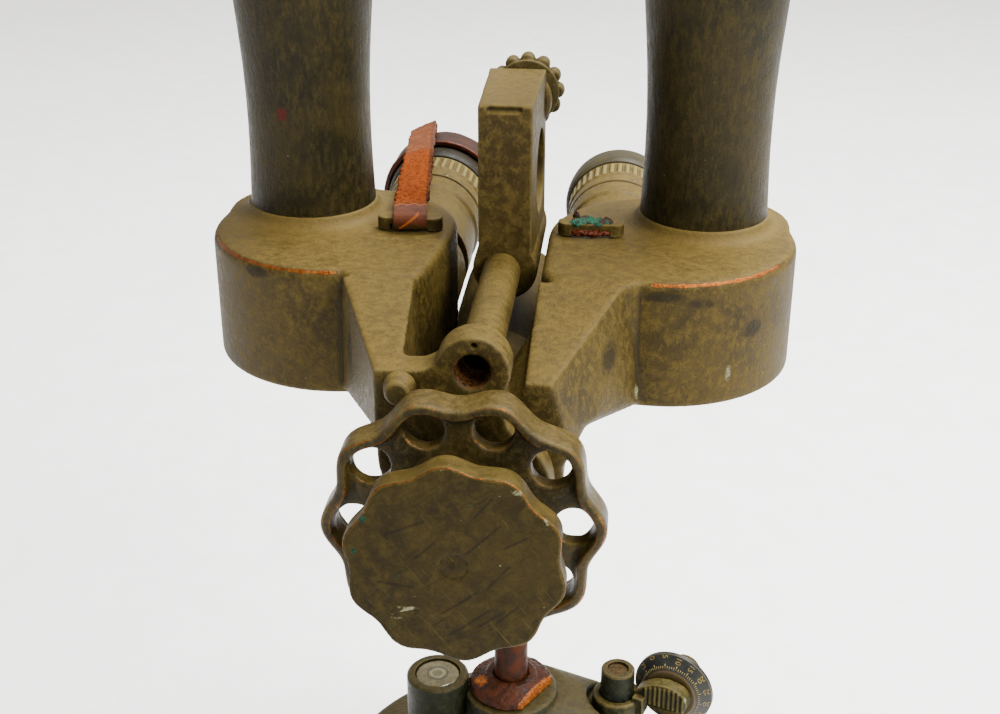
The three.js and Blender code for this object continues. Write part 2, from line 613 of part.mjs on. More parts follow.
/** Turning casting: skirt over the ring gear, turret for the spindle, and bosses for the rest. */
function headCasting() {
  const skirt = turnedZ([
    [0, 22], [66, 22], [66, 33], [64, 36], [40, 39], [24, 44], [0, 44],
  ], 26);
  const turret = turnedZ([[0, 36], [24, 36], [19.5, 52], [18.4, 66], [17, 68], [17, 77], [0, 77]], 20);
  const saddle = hull([
    ...discPoints(2, 4, 17, 74), ...discPoints(PIVOT.x, PIVOT.y, 10, 66), ...discPoints(2, 4, 18, 38),
    ...discPoints(PIVOT.x, PIVOT.y, 10.5, 38),
  ]);
  const levelWeb = hull([
    ...discPoints(0, 0, 10, 66), ...discPoints(LEVEL.x, LEVEL.y, 8, 58), ...discPoints(0, 0, 12, 38),
    ...discPoints(LEVEL.x, LEVEL.y, 12.5, 38), ...discPoints(LEVEL.x, LEVEL.y, 12.5, 50),
  ]);
  const bearing = join(
    rodY(DIAL.bearing, 34.2, DIAL.end, 24).translate(DIAL.x, 0, DIAL.z),
    box(DIAL.x - DIAL.bearing, DIAL.x + DIAL.bearing, 34.2, DIAL.end, 30, DIAL.z),
    rodZ(12, 22, 36, 24).translate(PINION.x, PINION.y, 0),
  );
  const body = join(skirt, turret, saddle, levelWeb, bearing);
  const cavity = turnedZ([[0, 15], [61.5, 15], [61.5, 30], [0, 30]], 28);
  const spindleSocket = rodZ(SPINDLE_RADIUS + 0.3, 56, 90, 20);
  const levelSocket = rodZ(LEVEL.radius + GAP, 52, 90, 20).translate(LEVEL.x, LEVEL.y, 0);
  const screwHole = rodZ(4.6, 54, 90, 20).translate(PIVOT.x, PIVOT.y, 0);
  const leverRoom = rodZ(11.4, 66, 90, 24).translate(PIVOT.x, PIVOT.y, 0);
  const dialBore = rodY(3.3, 30, 60, 20).translate(DIAL.x, 0, DIAL.z);
  const arborBore = rodZ(3.3, 10, DIAL.z - 1, 20).translate(PINION.x, PINION.y, 0);
  const gearRoom = box(DIAL.x - 5, DIAL.x + 5, 36.2, 42.4, DIAL.z - 8.5, DIAL.z + 5);
  const pinionRoom = rodZ(PINION.radius + 2, 15, 31, 24).translate(PINION.x, PINION.y, 0);
  const sockets = [spindleSocket, levelSocket, screwHole, leverRoom];
  return cut(body, cavity, ...sockets, dialBore, arborBore, gearRoom, pinionRoom);
}

function spindle() {
  return rodZ(SPINDLE_RADIUS, 56.4, HINGE_HEIGHT - 28.4, 20);
}

/** Clamping collar on the spindle with one spanner flat. */
function collarNut() {
  const nut = turnedZ([
    [SPINDLE_RADIUS + 0.4, COLLAR.bottom], [COLLAR.radius, COLLAR.bottom], [COLLAR.radius, COLLAR.top - 3.2],
    [9.6, COLLAR.top - 1], [9, COLLAR.top], [SPINDLE_RADIUS + 0.4, COLLAR.top],
    [SPINDLE_RADIUS + 0.4, COLLAR.bottom],
  ], 20);
  const flat = box(11.6, 20, -20, 20, 70, 90).rotateZ(THREE.MathUtils.degToRad(-10));
  return cut(nut, flat);
}

function levelHousing() {
  return turnedZ([
    [0, 52.4], [LEVEL.radius, 52.4], [LEVEL.radius, LEVEL.top - 0.8], [LEVEL.radius - 0.8, LEVEL.top],
    [8.4, LEVEL.top], [8.4, LEVEL.top - 4], [0, LEVEL.top - 4],
  ], 24).translate(LEVEL.x, LEVEL.y, 0);
}

function levelGlass() {
  const profile = [
    [0, LEVEL.top - 3.7], [8.1, LEVEL.top - 3.7], [8.1, LEVEL.top - 0.9], [0, LEVEL.top - 0.4],
  ];
  return turnedZ(profile, 20).translate(LEVEL.x, LEVEL.y, 0);
}

function pivotScrew() {
  return turnedZ([
    [0, 54.4], [4.3, 54.4], [4.3, 66.2], [PIVOT.radius, 66.2], [PIVOT.radius, PIVOT.top - 0.6],
    [PIVOT.radius - 0.6, PIVOT.top], [4, PIVOT.top], [3.8, PIVOT.top - 1.2], [0, PIVOT.top - 1.2],
  ], 20).translate(PIVOT.x, PIVOT.y, 0);
}

/** Thumb lever on the pivot screw: a leaf-shaped finger plate, ribbed upright on its face. */
function thumbLever() {
  const hub = sleeveZ(9.2, PIVOT.radius + 0.3, LEVER.bottom, 72).translate(PIVOT.x, PIVOT.y, 0);
  const leaf = new THREE.Shape();
  leaf.moveTo(LEVER.from, 70.6);
  leaf.quadraticCurveTo(52, 69.4, 58, 70.6);
  leaf.quadraticCurveTo(LEVER.to, 71.6, LEVER.to, 75.4);
  leaf.quadraticCurveTo(61, LEVER.top, 54, LEVER.top);
  leaf.quadraticCurveTo(47, LEVER.top, LEVER.from, 75.6);
  const plate = prismY(leaf, LEVER.front, LEVER.back, 5);
  const root = box(LEVER.from, 46, 17, LEVER.back - 2, LEVER.bottom, 74);
  const parts = [hub, plate, root];
  for (let i = 0; i < LEVER.ribs; i += 1) {
    const x = LEVER.from + 4.4 + i * LEVER.pitch;
    const top = LEVER.top - 1 - 0.03 * (x - 54) ** 2;
    parts.push(rodZ(0.7, 71.4, top, 8).translate(x, LEVER.front, 0));
  }
  return join(...parts);
}

/** Graduated dial on its shaft, with a small bevel wheel at the back end. */
function dial() {
  const body = turnedY([
    [0, 25.6], [9.6, 25.6], [10.4, 26.2], [DIAL.radius, DIAL.y], [DIAL.radius, DIAL.y + 1.6],
    [12.6, 33.6], [3, 33.6], [3, 37], [4.6, 38], [3, 41.6], [3, DIAL.end], [0, DIAL.end],
  ], 20);
  return body.translate(DIAL.x, 0, DIAL.z);
}

/** Upright arbor: bevel wheel at the top, pinion for the azimuth ring at the bottom. */
function pinionArbor() {
  const shaft = rodZ(3, 21, 66, 20);
  const pinion = prismZ(lobed(PINION.radius - 1, 0.9, PINION.teeth, 0, 5), 20.4, 27, 1);
  return join(shaft, pinion).translate(PINION.x, PINION.y, 0);
}

add(mount, "base_flange", baseFlange(), MOUNT_GREEN);
add(mount, "pedestal", pedestal(), MOUNT_GREEN);
add(mount, "azimuth_ring_gear", ringGear(), BRASS);
add(mount, "mount_casting", headCasting(), MOUNT_GREEN);
add(mount, "spindle", spindle(), RUST);
add(mount, "clamp_collar", collarNut(), RUST);
add(mount, "level_housing", levelHousing(), MOUNT_GREEN);
add(mount, "level_glass", levelGlass(), GLASS);
add(mount, "pivot_screw", pivotScrew(), MOUNT_GREEN);
add(mount, "thumb_lever", thumbLever(), MOUNT_GREEN);
add(mount, "azimuth_dial", dial(), BLACK);
add(mount, "pinion_arbor", pinionArbor(), STEEL);

export default object;
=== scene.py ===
"""Looks of the scissor-type periscopic binoculars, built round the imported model.

Lengths inside the functions are millimetres in one of two local frames, and placed in metres:
- the head's frame has its origin on the hinge axis, level with the middle of the sight tubes;
- the mount's frame stands on the base and is turned with the dial's axis.
"""

import json
import math

import bmesh
import bpy
import numpy as np
from mathutils import Matrix, Vector, noise


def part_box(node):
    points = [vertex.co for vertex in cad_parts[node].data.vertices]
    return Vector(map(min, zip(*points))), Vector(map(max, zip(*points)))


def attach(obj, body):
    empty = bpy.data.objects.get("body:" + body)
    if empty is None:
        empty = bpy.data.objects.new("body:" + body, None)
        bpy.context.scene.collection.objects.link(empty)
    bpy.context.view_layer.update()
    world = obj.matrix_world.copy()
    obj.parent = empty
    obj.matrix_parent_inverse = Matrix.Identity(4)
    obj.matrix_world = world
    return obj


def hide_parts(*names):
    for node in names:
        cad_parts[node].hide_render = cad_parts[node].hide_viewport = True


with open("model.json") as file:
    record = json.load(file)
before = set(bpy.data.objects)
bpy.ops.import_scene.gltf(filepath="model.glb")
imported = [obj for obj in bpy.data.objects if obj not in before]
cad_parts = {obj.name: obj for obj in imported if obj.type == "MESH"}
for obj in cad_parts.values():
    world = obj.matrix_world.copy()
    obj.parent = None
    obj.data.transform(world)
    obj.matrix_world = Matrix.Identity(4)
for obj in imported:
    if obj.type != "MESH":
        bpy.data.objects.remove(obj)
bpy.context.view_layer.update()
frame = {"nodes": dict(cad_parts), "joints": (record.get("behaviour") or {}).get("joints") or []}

MM = 0.001
GAP = 0.3                            # between neighbouring parts
TAU = 2 * math.pi


def middle(node):
    """Middle of a CAD node's box, in metres."""
    low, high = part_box(node)
    return (low + high) / 2


JOINTS = {joint["name"]: joint for joint in frame["joints"]}
DIAL_AXIS = Vector(JOINTS["dial_turn"]["axis"])
HEAD_ORIGIN = Vector((middle("hinge_bolt").x, middle("right_objective_lens").y, middle("hinge_bolt").z))
HEAD = Matrix.Translation(HEAD_ORIGIN) @ Matrix.Scale(MM, 4)
MOUNT = Matrix.Rotation(math.atan2(-DIAL_AXIS.x, DIAL_AXIS.y), 4, "Z") @ Matrix.Scale(MM, 4)


# ---- camera, light and floor --------------------------------------------------------------------

CAMERA_PLACE = (38.304, -416.448, 190.843)       # from the head's origin
CAMERA_AZIMUTH, CAMERA_DOWN, CAMERA_ROLL = 5.513, 25.392, 0.091
CAMERA_LENS = 52.99


def add_camera():
    """Camera a little to the right of the hinge axis, looking down at 25 degrees."""
    place = HEAD_ORIGIN + MM * Vector(CAMERA_PLACE)
    azimuth, down, roll = (math.radians(a) for a in (CAMERA_AZIMUTH, CAMERA_DOWN, CAMERA_ROLL))
    data = bpy.data.cameras.new("camera")
    data.lens = CAMERA_LENS
    data.sensor_width = 36
    data.clip_start = 0.01
    camera = bpy.data.objects.new("camera", data)
    turn = Matrix.Rotation(azimuth, 4, "Z") @ Matrix.Rotation(math.radians(90) - down, 4, "X")
    camera.matrix_world = Matrix.Translation(place) @ turn @ Matrix.Rotation(roll, 4, "Z")
    bpy.context.scene.collection.objects.link(camera)
    bpy.context.scene.camera = camera


def add_area_light(name, place, target, size, power, colour=(1, 1, 1)):
    data = bpy.data.lights.new(name, "AREA")
    data.shape = "DISK"
    data.size = size
    data.energy = power
    data.color = colour
    light = bpy.data.objects.new(name, data)
    direction = Vector(target) - Vector(place)
    light.matrix_world = Matrix.Translation(place) @ direction.to_track_quat("-Z", "Y").to_matrix().to_4x4()
    bpy.context.scene.collection.objects.link(light)


def add_studio():
    """Soft daylight from above, a weaker light from the front right, and a pale floor."""
    world = bpy.data.worlds.new("studio")
    world.use_nodes = True
    background = world.node_tree.nodes["Background"]
    background.inputs["Color"].default_value = (1.0, 0.985, 0.955, 1)
    background.inputs["Strength"].default_value = 1.08
    bpy.context.scene.world = world
    target = (0, 0, 0.24)
    add_area_light("sky_key", (0.45, 0.3, 1.55), target, 1.0, 86)
    add_area_light("right_fill", (1.1, -0.8, 1.3), target, 0.8, 60, (1, 0.98, 0.95))
    mesh = bpy.data.meshes.new("floor")
    reach = 6
    mesh.from_pydata([(-reach, -reach, 0), (reach, -reach, 0), (reach, reach, 0), (-reach, reach, 0)],
                     [], [(0, 1, 2, 3)])
    floor = bpy.data.objects.new("floor", mesh)
    floor.location.z = -0.0005
    bpy.context.scene.collection.objects.link(floor)
    mesh.materials.append(paper_finish("pale_paper"))


# ---- outlines and shells ------------------------------------------------------------------------
# A shell is (points, faces): a closed surface in local millimetres.

def rounded(points, radius, steps=4, closed=False):
    """The same outline with each corner turned into a short arc."""
    result = []
    count = len(points)
    for i, corner in enumerate(points):
        at_end = not closed and i in (0, count - 1)
        if at_end:
            result.append(tuple(corner))
            continue
        here = Vector(corner)
        before = Vector(points[i - 1]) - here
        after = Vector(points[(i + 1) % count]) - here
        reach = min(radius, 0.45 * before.length, 0.45 * after.length)
        start = here + before.normalized() * reach
        end = here + after.normalized() * reach
        for k in range(steps + 1):
            t = k / steps
            result.append(tuple(start * (1 - t) ** 2 + here * 2 * t * (1 - t) + end * t ** 2))
    return result


def ring_of(profile_point, axis, segments, wave):
    """Points of one circle of a turned piece."""
    radius, along = profile_point
    points = []
    for k in range(segments):
        angle = TAU * k / segments
        reach = radius if wave is None else wave(radius, along, angle)
        a, b = reach * math.cos(angle), reach * math.sin(angle)
        points.append((a, b, along) if axis == "Z" else (a, along, b))
    return points


def turned(profile, axis="Z", at=(0, 0, 0), segments=96, closed=False, wave=None):
    """Surface of revolution. An open profile starts and ends on the axis."""
    points = []
    faces = []
    rings = []
    for item in profile:
        if item[0] < 1e-6:
            rings.append([len(points)] * segments)
            points.append((0, 0, item[1]) if axis == "Z" else (0, item[1], 0))
        else:
            rings.append(list(range(len(points), len(points) + segments)))
            points.extend(ring_of(item, axis, segments, wave))
    pairs = list(zip(rings, rings[1:]))
    if closed:
        pairs.append((rings[-1], rings[0]))
    for lower, upper in pairs:
        for k in range(segments):
            n = (k + 1) % segments
            face = [lower[k], lower[n], upper[n], upper[k]]
            unique = list(dict.fromkeys(face))
            if len(unique) > 2:
                faces.append(unique)
    moved = [tuple(Vector(p) + Vector(at)) for p in points]
    return moved, faces


def rod(radius, start, end, axis="Z", at=(0, 0, 0), edge=0.4, segments=64):
    profile = rounded([(0, start), (radius, start), (radius, end), (0, end)], edge)
    return turned(profile, axis, at, segments)


def loft(outlines):
    """Closed shell through outlines that have the same number of 3-D points."""
    count = len(outlines[0])
    points = [p for outline in outlines for p in outline]
    faces = [list(range(count))[::-1]]
    for level in range(len(outlines) - 1):
        for k in range(count):
            n = (k + 1) % count
            base = level * count
            faces.append([base + k, base + n, base + count + n, base + count + k])
    top = (len(outlines) - 1) * count
    faces.append(list(range(top, top + count)))
    return points, faces


def pulled(outline, start, end, axis="Z"):
    """Prism of an outline. Along Z it is drawn as (x, y), along Y as (x, z), along X as (y, z)."""
    place = {
        "Z": lambda p, t: (p[0], p[1], t),
        "Y": lambda p, t: (p[0], t, p[1]),
        "X": lambda p, t: (t, p[0], p[1]),
    }[axis]
    return loft([[place(p, start) for p in outline], [place(p, end) for p in outline]])


def convex(points):
    """Convex hull shell."""
    mesh = bmesh.new()
    for point in points:
        mesh.verts.new(point)
    bmesh.ops.convex_hull(mesh, input=mesh.verts)
    loose = [v for v in mesh.verts if not v.link_faces]
    bmesh.ops.delete(mesh, geom=loose, context="VERTS")
    mesh.verts.index_update()
    result = ([tuple(v.co) for v in mesh.verts], [[v.index for v in f.verts] for f in mesh.faces])
    mesh.free()
    return result


def moved(shell, offset=(0, 0, 0), matrix=None):
    transform = Matrix.Translation(offset) @ (matrix or Matrix.Identity(4))
    points, faces = shell
    return [tuple(transform @ Vector(p)) for p in points], faces


def disc_points(x, y, radius, z):
    count = 40
    return [(x + radius * math.cos(TAU * k / count), y + radius * math.sin(TAU * k / count), z)
            for k in range(count)]


def lobed(radius, swell, lobes, turn_degrees, count):
    """Outline whose radius swells once per lobe."""
    turn = math.radians(turn_degrees)
    points = []
    for k in range(count):
        angle = TAU * k / count
        reach = radius + swell * math.cos(lobes * (angle - turn))
        points.append((reach * math.cos(angle), reach * math.sin(angle)))
    return points


# ---- meshes -------------------------------------------------------------------------------------

def build(name, shells, local):
    """Object made of shells, in metres and in place."""
    mesh = bmesh.new()
    for points, faces in shells:
        verts = [mesh.verts.new(local @ Vector(p)) for p in points]
        for face in faces:
            mesh.faces.new([verts[i] for i in face])
    bmesh.ops.recalc_face_normals(mesh, faces=mesh.faces)
    data = bpy.data.meshes.new(name)
    mesh.to_mesh(data)
    mesh.free()
    piece = bpy.data.objects.new(name, data)
    bpy.context.scene.collection.objects.link(piece)
    data.polygons.foreach_set("use_smooth", [True] * len(data.polygons))
    return piece


def settle(piece):
    """Applies the piece's modifiers to its mesh."""
    graph = bpy.context.evaluated_depsgraph_get()
    graph.update()
    data = bpy.data.meshes.new_from_object(piece.evaluated_get(graph))
    piece.modifiers.clear()
    old = piece.data
    piece.data = data
    data.name = piece.name
    bpy.data.meshes.remove(old)
    data.polygons.foreach_set("use_smooth", [True] * len(data.polygons))


def smoothed(points, rounds=2):
    """Outline with its corners cut twice or so, ends kept (Chaikin)."""
    for _ in range(rounds):
        result = [points[0]]
        for a, b in zip(points, points[1:]):
            result.append(tuple(0.75 * p + 0.25 * q for p, q in zip(a, b)))
            result.append(tuple(0.25 * p + 0.75 * q for p, q in zip(a, b)))
        result.append(points[-1])
        points = result
    return points


def spaced(points, step=2.0):
    """Outline with extra points, so that no two are further apart than a step."""
    result = [points[0]]
    for a, b in zip(points, points[1:]):
        parts = max(1, math.ceil(math.dist(a, b) / step))
        for k in range(1, parts + 1):
            result.append(tuple(p + (q - p) * k / parts for p, q in zip(a, b)))
    return result


def point_vectors(piece, what):
    """A vector of each point of the mesh, such as its place (co) or its normal."""
    values = np.zeros(len(piece.data.vertices) * 3)
    piece.data.vertices.foreach_get(what, values)
    return values.reshape(-1, 3)


def local_points(piece, local):
    """The piece's points in a local frame, in mm."""
    inverse = np.array(local.inverted())
    return point_vectors(piece, "co") @ inverse[:3, :3].T + inverse[:3, 3]


def store(piece, name, values):
    """Keeps one value for each point of the mesh, for its material to read."""
    attribute = piece.data.attributes.new(name, "FLOAT", "POINT")
    attribute.data.foreach_set("value", np.asarray(values, np.float32))


def merge(piece, shells, operation, local):
    """Joins shells to a piece, or cuts them out of it."""
    for shell in shells:
        tool = build("tool", [shell], local)
        boolean = piece.modifiers.new("boolean", "BOOLEAN")
        boolean.operation = operation
        boolean.solver = "MANIFOLD"
        boolean.object = tool
        settle(piece)
        spare = tool.data
        bpy.data.objects.remove(tool)
        bpy.data.meshes.remove(spare)


def melt(piece, voxel, smooth):
    """Turns a piece into even small faces and softens its edges and inner corners."""
    remesh = piece.modifiers.new("melt", "REMESH")
    remesh.mode = "VOXEL"
    remesh.voxel_size = voxel * MM
    if smooth:
        soften = piece.modifiers.new("soften", "SMOOTH")
        soften.factor = 0.5
        soften.iterations = smooth
    settle(piece)


def shaped(name, adds, cuts, local, voxel, smooth, extra=(), extra_cuts=()):
    """Casting made of joined shells with others cut away, then evened out."""
    piece = build(name, adds[:1], local)
    merge(piece, adds[1:], "UNION", local)
    merge(piece, cuts, "DIFFERENCE", local)
    merge(piece, extra, "UNION", local)
    merge(piece, extra_cuts, "DIFFERENCE", local)
    if voxel:
        melt(piece, voxel, smooth)
    return piece


def roughen(piece, height, size, strength=None):
    """Moves the points in and out along their normals by fixed noise, up to a height in mm."""
    normals = point_vectors(piece, "normal")
    co = point_vectors(piece, "co")
    shift = np.array([noise.fractal(Vector(p) / (size * MM), 0.6, 2.1, 4) for p in co])
    if strength is not None:
        shift = shift * strength
    co = co + normals * (shift * height * MM)[:, None]
    piece.data.vertices.foreach_set("co", co.ravel())
    piece.data.update()


def fused(name, shells, local, voxel, smooth):
    """Shells melted into one casting with softened edges and filleted joints."""
    piece = build(name, shells, local)
    remesh = piece.modifiers.new("melt", "REMESH")
    remesh.mode = "VOXEL"
    remesh.voxel_size = voxel * MM
    remesh.use_smooth_shade = True
    if smooth:
        soften = piece.modifiers.new("soften", "SMOOTH")
        soften.factor = 0.5
        soften.iterations = smooth
    settle(piece)
    return piece


WEAR_REACH = 3              # times that the bend of the surface is spread to the next points


def mark_wear(piece):
    """Stores how far each point stands out on an edge (worn) or sits in a corner (hollow)."""
    data = piece.data
    count = len(data.vertices)
    co = point_vectors(piece, "co")
    normals = point_vectors(piece, "normal")
    edges = np.zeros(len(data.edges) * 2, int)
    data.edges.foreach_get("vertices", edges)
    a, b = edges.reshape(-1, 2).T
    along = co[b] - co[a]
    length = np.linalg.norm(along, axis=1) + 1e-9
    degree = np.bincount(a, minlength=count) + np.bincount(b, minlength=count)
    degree = np.maximum(degree, 1)
    slope_a = -np.einsum("ij,ij->i", normals[a], along) / length
    slope_b = np.einsum("ij,ij->i", normals[b], along) / length
    bend = (np.bincount(a, slope_a, count) + np.bincount(b, slope_b, count)) / degree
    for _ in range(WEAR_REACH):
        around = np.bincount(a, bend[b], count) + np.bincount(b, bend[a], count)
        bend = 0.5 * bend + 0.5 * around / degree
    per_mm = bend / (np.bincount(a, length, count) + np.bincount(b, length, count)) * degree * MM
    store(piece, "worn", np.clip(per_mm * 4, 0, 1))
    store(piece, "hollow", np.clip(-per_mm * 4, 0, 1))


def place(piece, body, material, slot, *nodes):
    """Finishes a piece: its wear, material, body, and the CAD nodes that it stands for."""
    mark_wear(piece)
    piece.data.materials.clear()
    piece.data.materials.append(material)
    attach(piece, body)
    if nodes:
        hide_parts(*nodes)
    return piece


# ---- materials ----------------------------------------------------------------------------------

STUDIO_GAIN = (0.28, 0.34, 0.34)     # the studio is bright, for a white floor, and browns turn red in it
DEPTH = 1.5                          # the soft view takes some of the colour out


def srgb(red, green, blue):
    """Scene colour that shows, under the studio light, as a screen colour of 0 to 255."""
    def linear(value):
        share = value / 255
        return share / 12.92 if share <= 0.04045 else ((share + 0.055) / 1.055) ** 2.4
    shown = [linear(value) for value in (red, green, blue)]
    peak = max(shown)
    return (*(gain * peak * (value / peak) ** DEPTH for gain, value in zip(STUDIO_GAIN, shown)), 1)


class Finish:
    """A material and short ways to add nodes to it. Positions are millimetres in the row frame."""

    def __init__(self, name):
        self.material = bpy.data.materials.new(name)
        self.material.use_nodes = True
        self.tree = self.material.node_tree
        self.shader = self.tree.nodes["Principled BSDF"]
        self.shine = 0.3
        coordinates = self.node("ShaderNodeTexCoord")
        self.normal = coordinates.outputs["Normal"]
        self.position = self.scaled(coordinates.outputs["Object"], (1000, 1000, 1000))

    def node(self, kind, **settings):
        node = self.tree.nodes.new(kind)
        for key, value in settings.items():
            setattr(node, key, value)
        return node

    def join(self, value, socket):
        """Links a socket, or sets a plain value."""
        if isinstance(value, bpy.types.NodeSocket):
            self.tree.links.new(value, socket)
        else:
            socket.default_value = value

    def scaled(self, vector, factors):
        node = self.node("ShaderNodeVectorMath", operation="MULTIPLY")
        self.join(vector, node.inputs[0])
        node.inputs[1].default_value = factors
        return node.outputs[0]

    def noise(self, size, detail=4, roughness=0.6, stretch=(1, 1, 1), warp=0, position=None):
        """Noise whose features are about size mm wide, longer along an axis by its stretch."""
        node = self.node("ShaderNodeTexNoise")
        factors = tuple(1 / (size * part) for part in stretch)
        self.join(self.scaled(position or self.position, factors), node.inputs["Vector"])
        node.inputs["Scale"].default_value = 1
        node.inputs["Detail"].default_value = detail
        node.inputs["Roughness"].default_value = roughness
        node.inputs["Distortion"].default_value = warp
        return node.outputs["Fac"]

    def cells(self, size, feature="F1"):
        node = self.node("ShaderNodeTexVoronoi", feature=feature)
        self.join(self.scaled(self.position, (1 / size,) * 3), node.inputs["Vector"])
        node.inputs["Scale"].default_value = 1
        node.inputs["Randomness"].default_value = 1
        return node.outputs["Distance"]

    def tilted(self, degrees):
        """Position turned about Y, for marks that run at an angle across the front."""
        node = self.node("ShaderNodeVectorRotate", rotation_type="Y_AXIS")
        self.join(self.position, node.inputs["Vector"])
        node.inputs["Angle"].default_value = math.radians(degrees)
        return node.outputs[0]

    def level(self, value, low, high, to_low=0.0, to_high=1.0):
        """Smooth step from to_low to to_high as value goes from low to high."""
        node = self.node("ShaderNodeMapRange", interpolation_type="SMOOTHSTEP")
        self.join(value, node.inputs["Value"])
        for name, number in (("From Min", low), ("From Max", high), ("To Min", to_low), ("To Max", to_high)):
            node.inputs[name].default_value = number
        return node.outputs["Result"]

    def math(self, operation, first, second=0.0):
        node = self.node("ShaderNodeMath", operation=operation)
        self.join(first, node.inputs[0])
        self.join(second, node.inputs[1])
        return node.outputs[0]

    def plus(self, first, second):
        return self.math("ADD", first, second)

    def minus(self, first, second):
        return self.math("SUBTRACT", first, second)

    def times(self, first, second):
        return self.math("MULTIPLY", first, second)

    def larger(self, first, second):
        return self.math("MAXIMUM", first, second)

    def mix(self, factor, first, second):
        node = self.node("ShaderNodeMix", data_type="RGBA", blend_type="MIX")
        self.join(factor, node.inputs["Factor"])
        self.join(first, node.inputs["A"])
        self.join(second, node.inputs["B"])
        return node.outputs["Result"]

    def mark(self, name):
        """A value stored on the mesh's points."""
        node = self.node("ShaderNodeAttribute", attribute_name=name)
        return node.outputs["Fac"]

    def facing(self, axis):
        """How far the surface faces along an axis, from -1 to 1, in the piece's own frame."""
        node = self.node("ShaderNodeSeparateXYZ")
        self.join(self.normal, node.inputs[0])
        return node.outputs[axis]

    def bump(self, height, distance, strength=1.0, over=None):
        """Bump of the given height in mm."""
        node = self.node("ShaderNodeBump")
        self.join(height, node.inputs["Height"])
        node.inputs["Distance"].default_value = distance * MM
        node.inputs["Strength"].default_value = strength
        if over is not None:
            self.join(over, node.inputs["Normal"])
        return node.outputs["Normal"]

    def done(self, colour, roughness, normal=None, metallic=None):
        self.shader.inputs["Specular IOR Level"].default_value = self.shine
        self.join(colour, self.shader.inputs["Base Color"])
        self.join(roughness, self.shader.inputs["Roughness"])
        if normal is not None:
            self.join(normal, self.shader.inputs["Normal"])
        if metallic is not None:
            self.join(metallic, self.shader.inputs["Metallic"])
        return self.material


COPPER = srgb(166, 104, 56)
BRIGHT_COPPER = srgb(204, 140, 84)
PRIMER = srgb(104, 50, 28)
VERDIGRIS = srgb(44, 104, 86)
DEEP_VERDIGRIS = srgb(26, 50, 40)
# pale dust colour, also used as painted top light on faces that point up
DUST_AND_TOP_LIGHT = srgb(166, 138, 86)
WHITE_SCUFF = srgb(178, 168, 142)


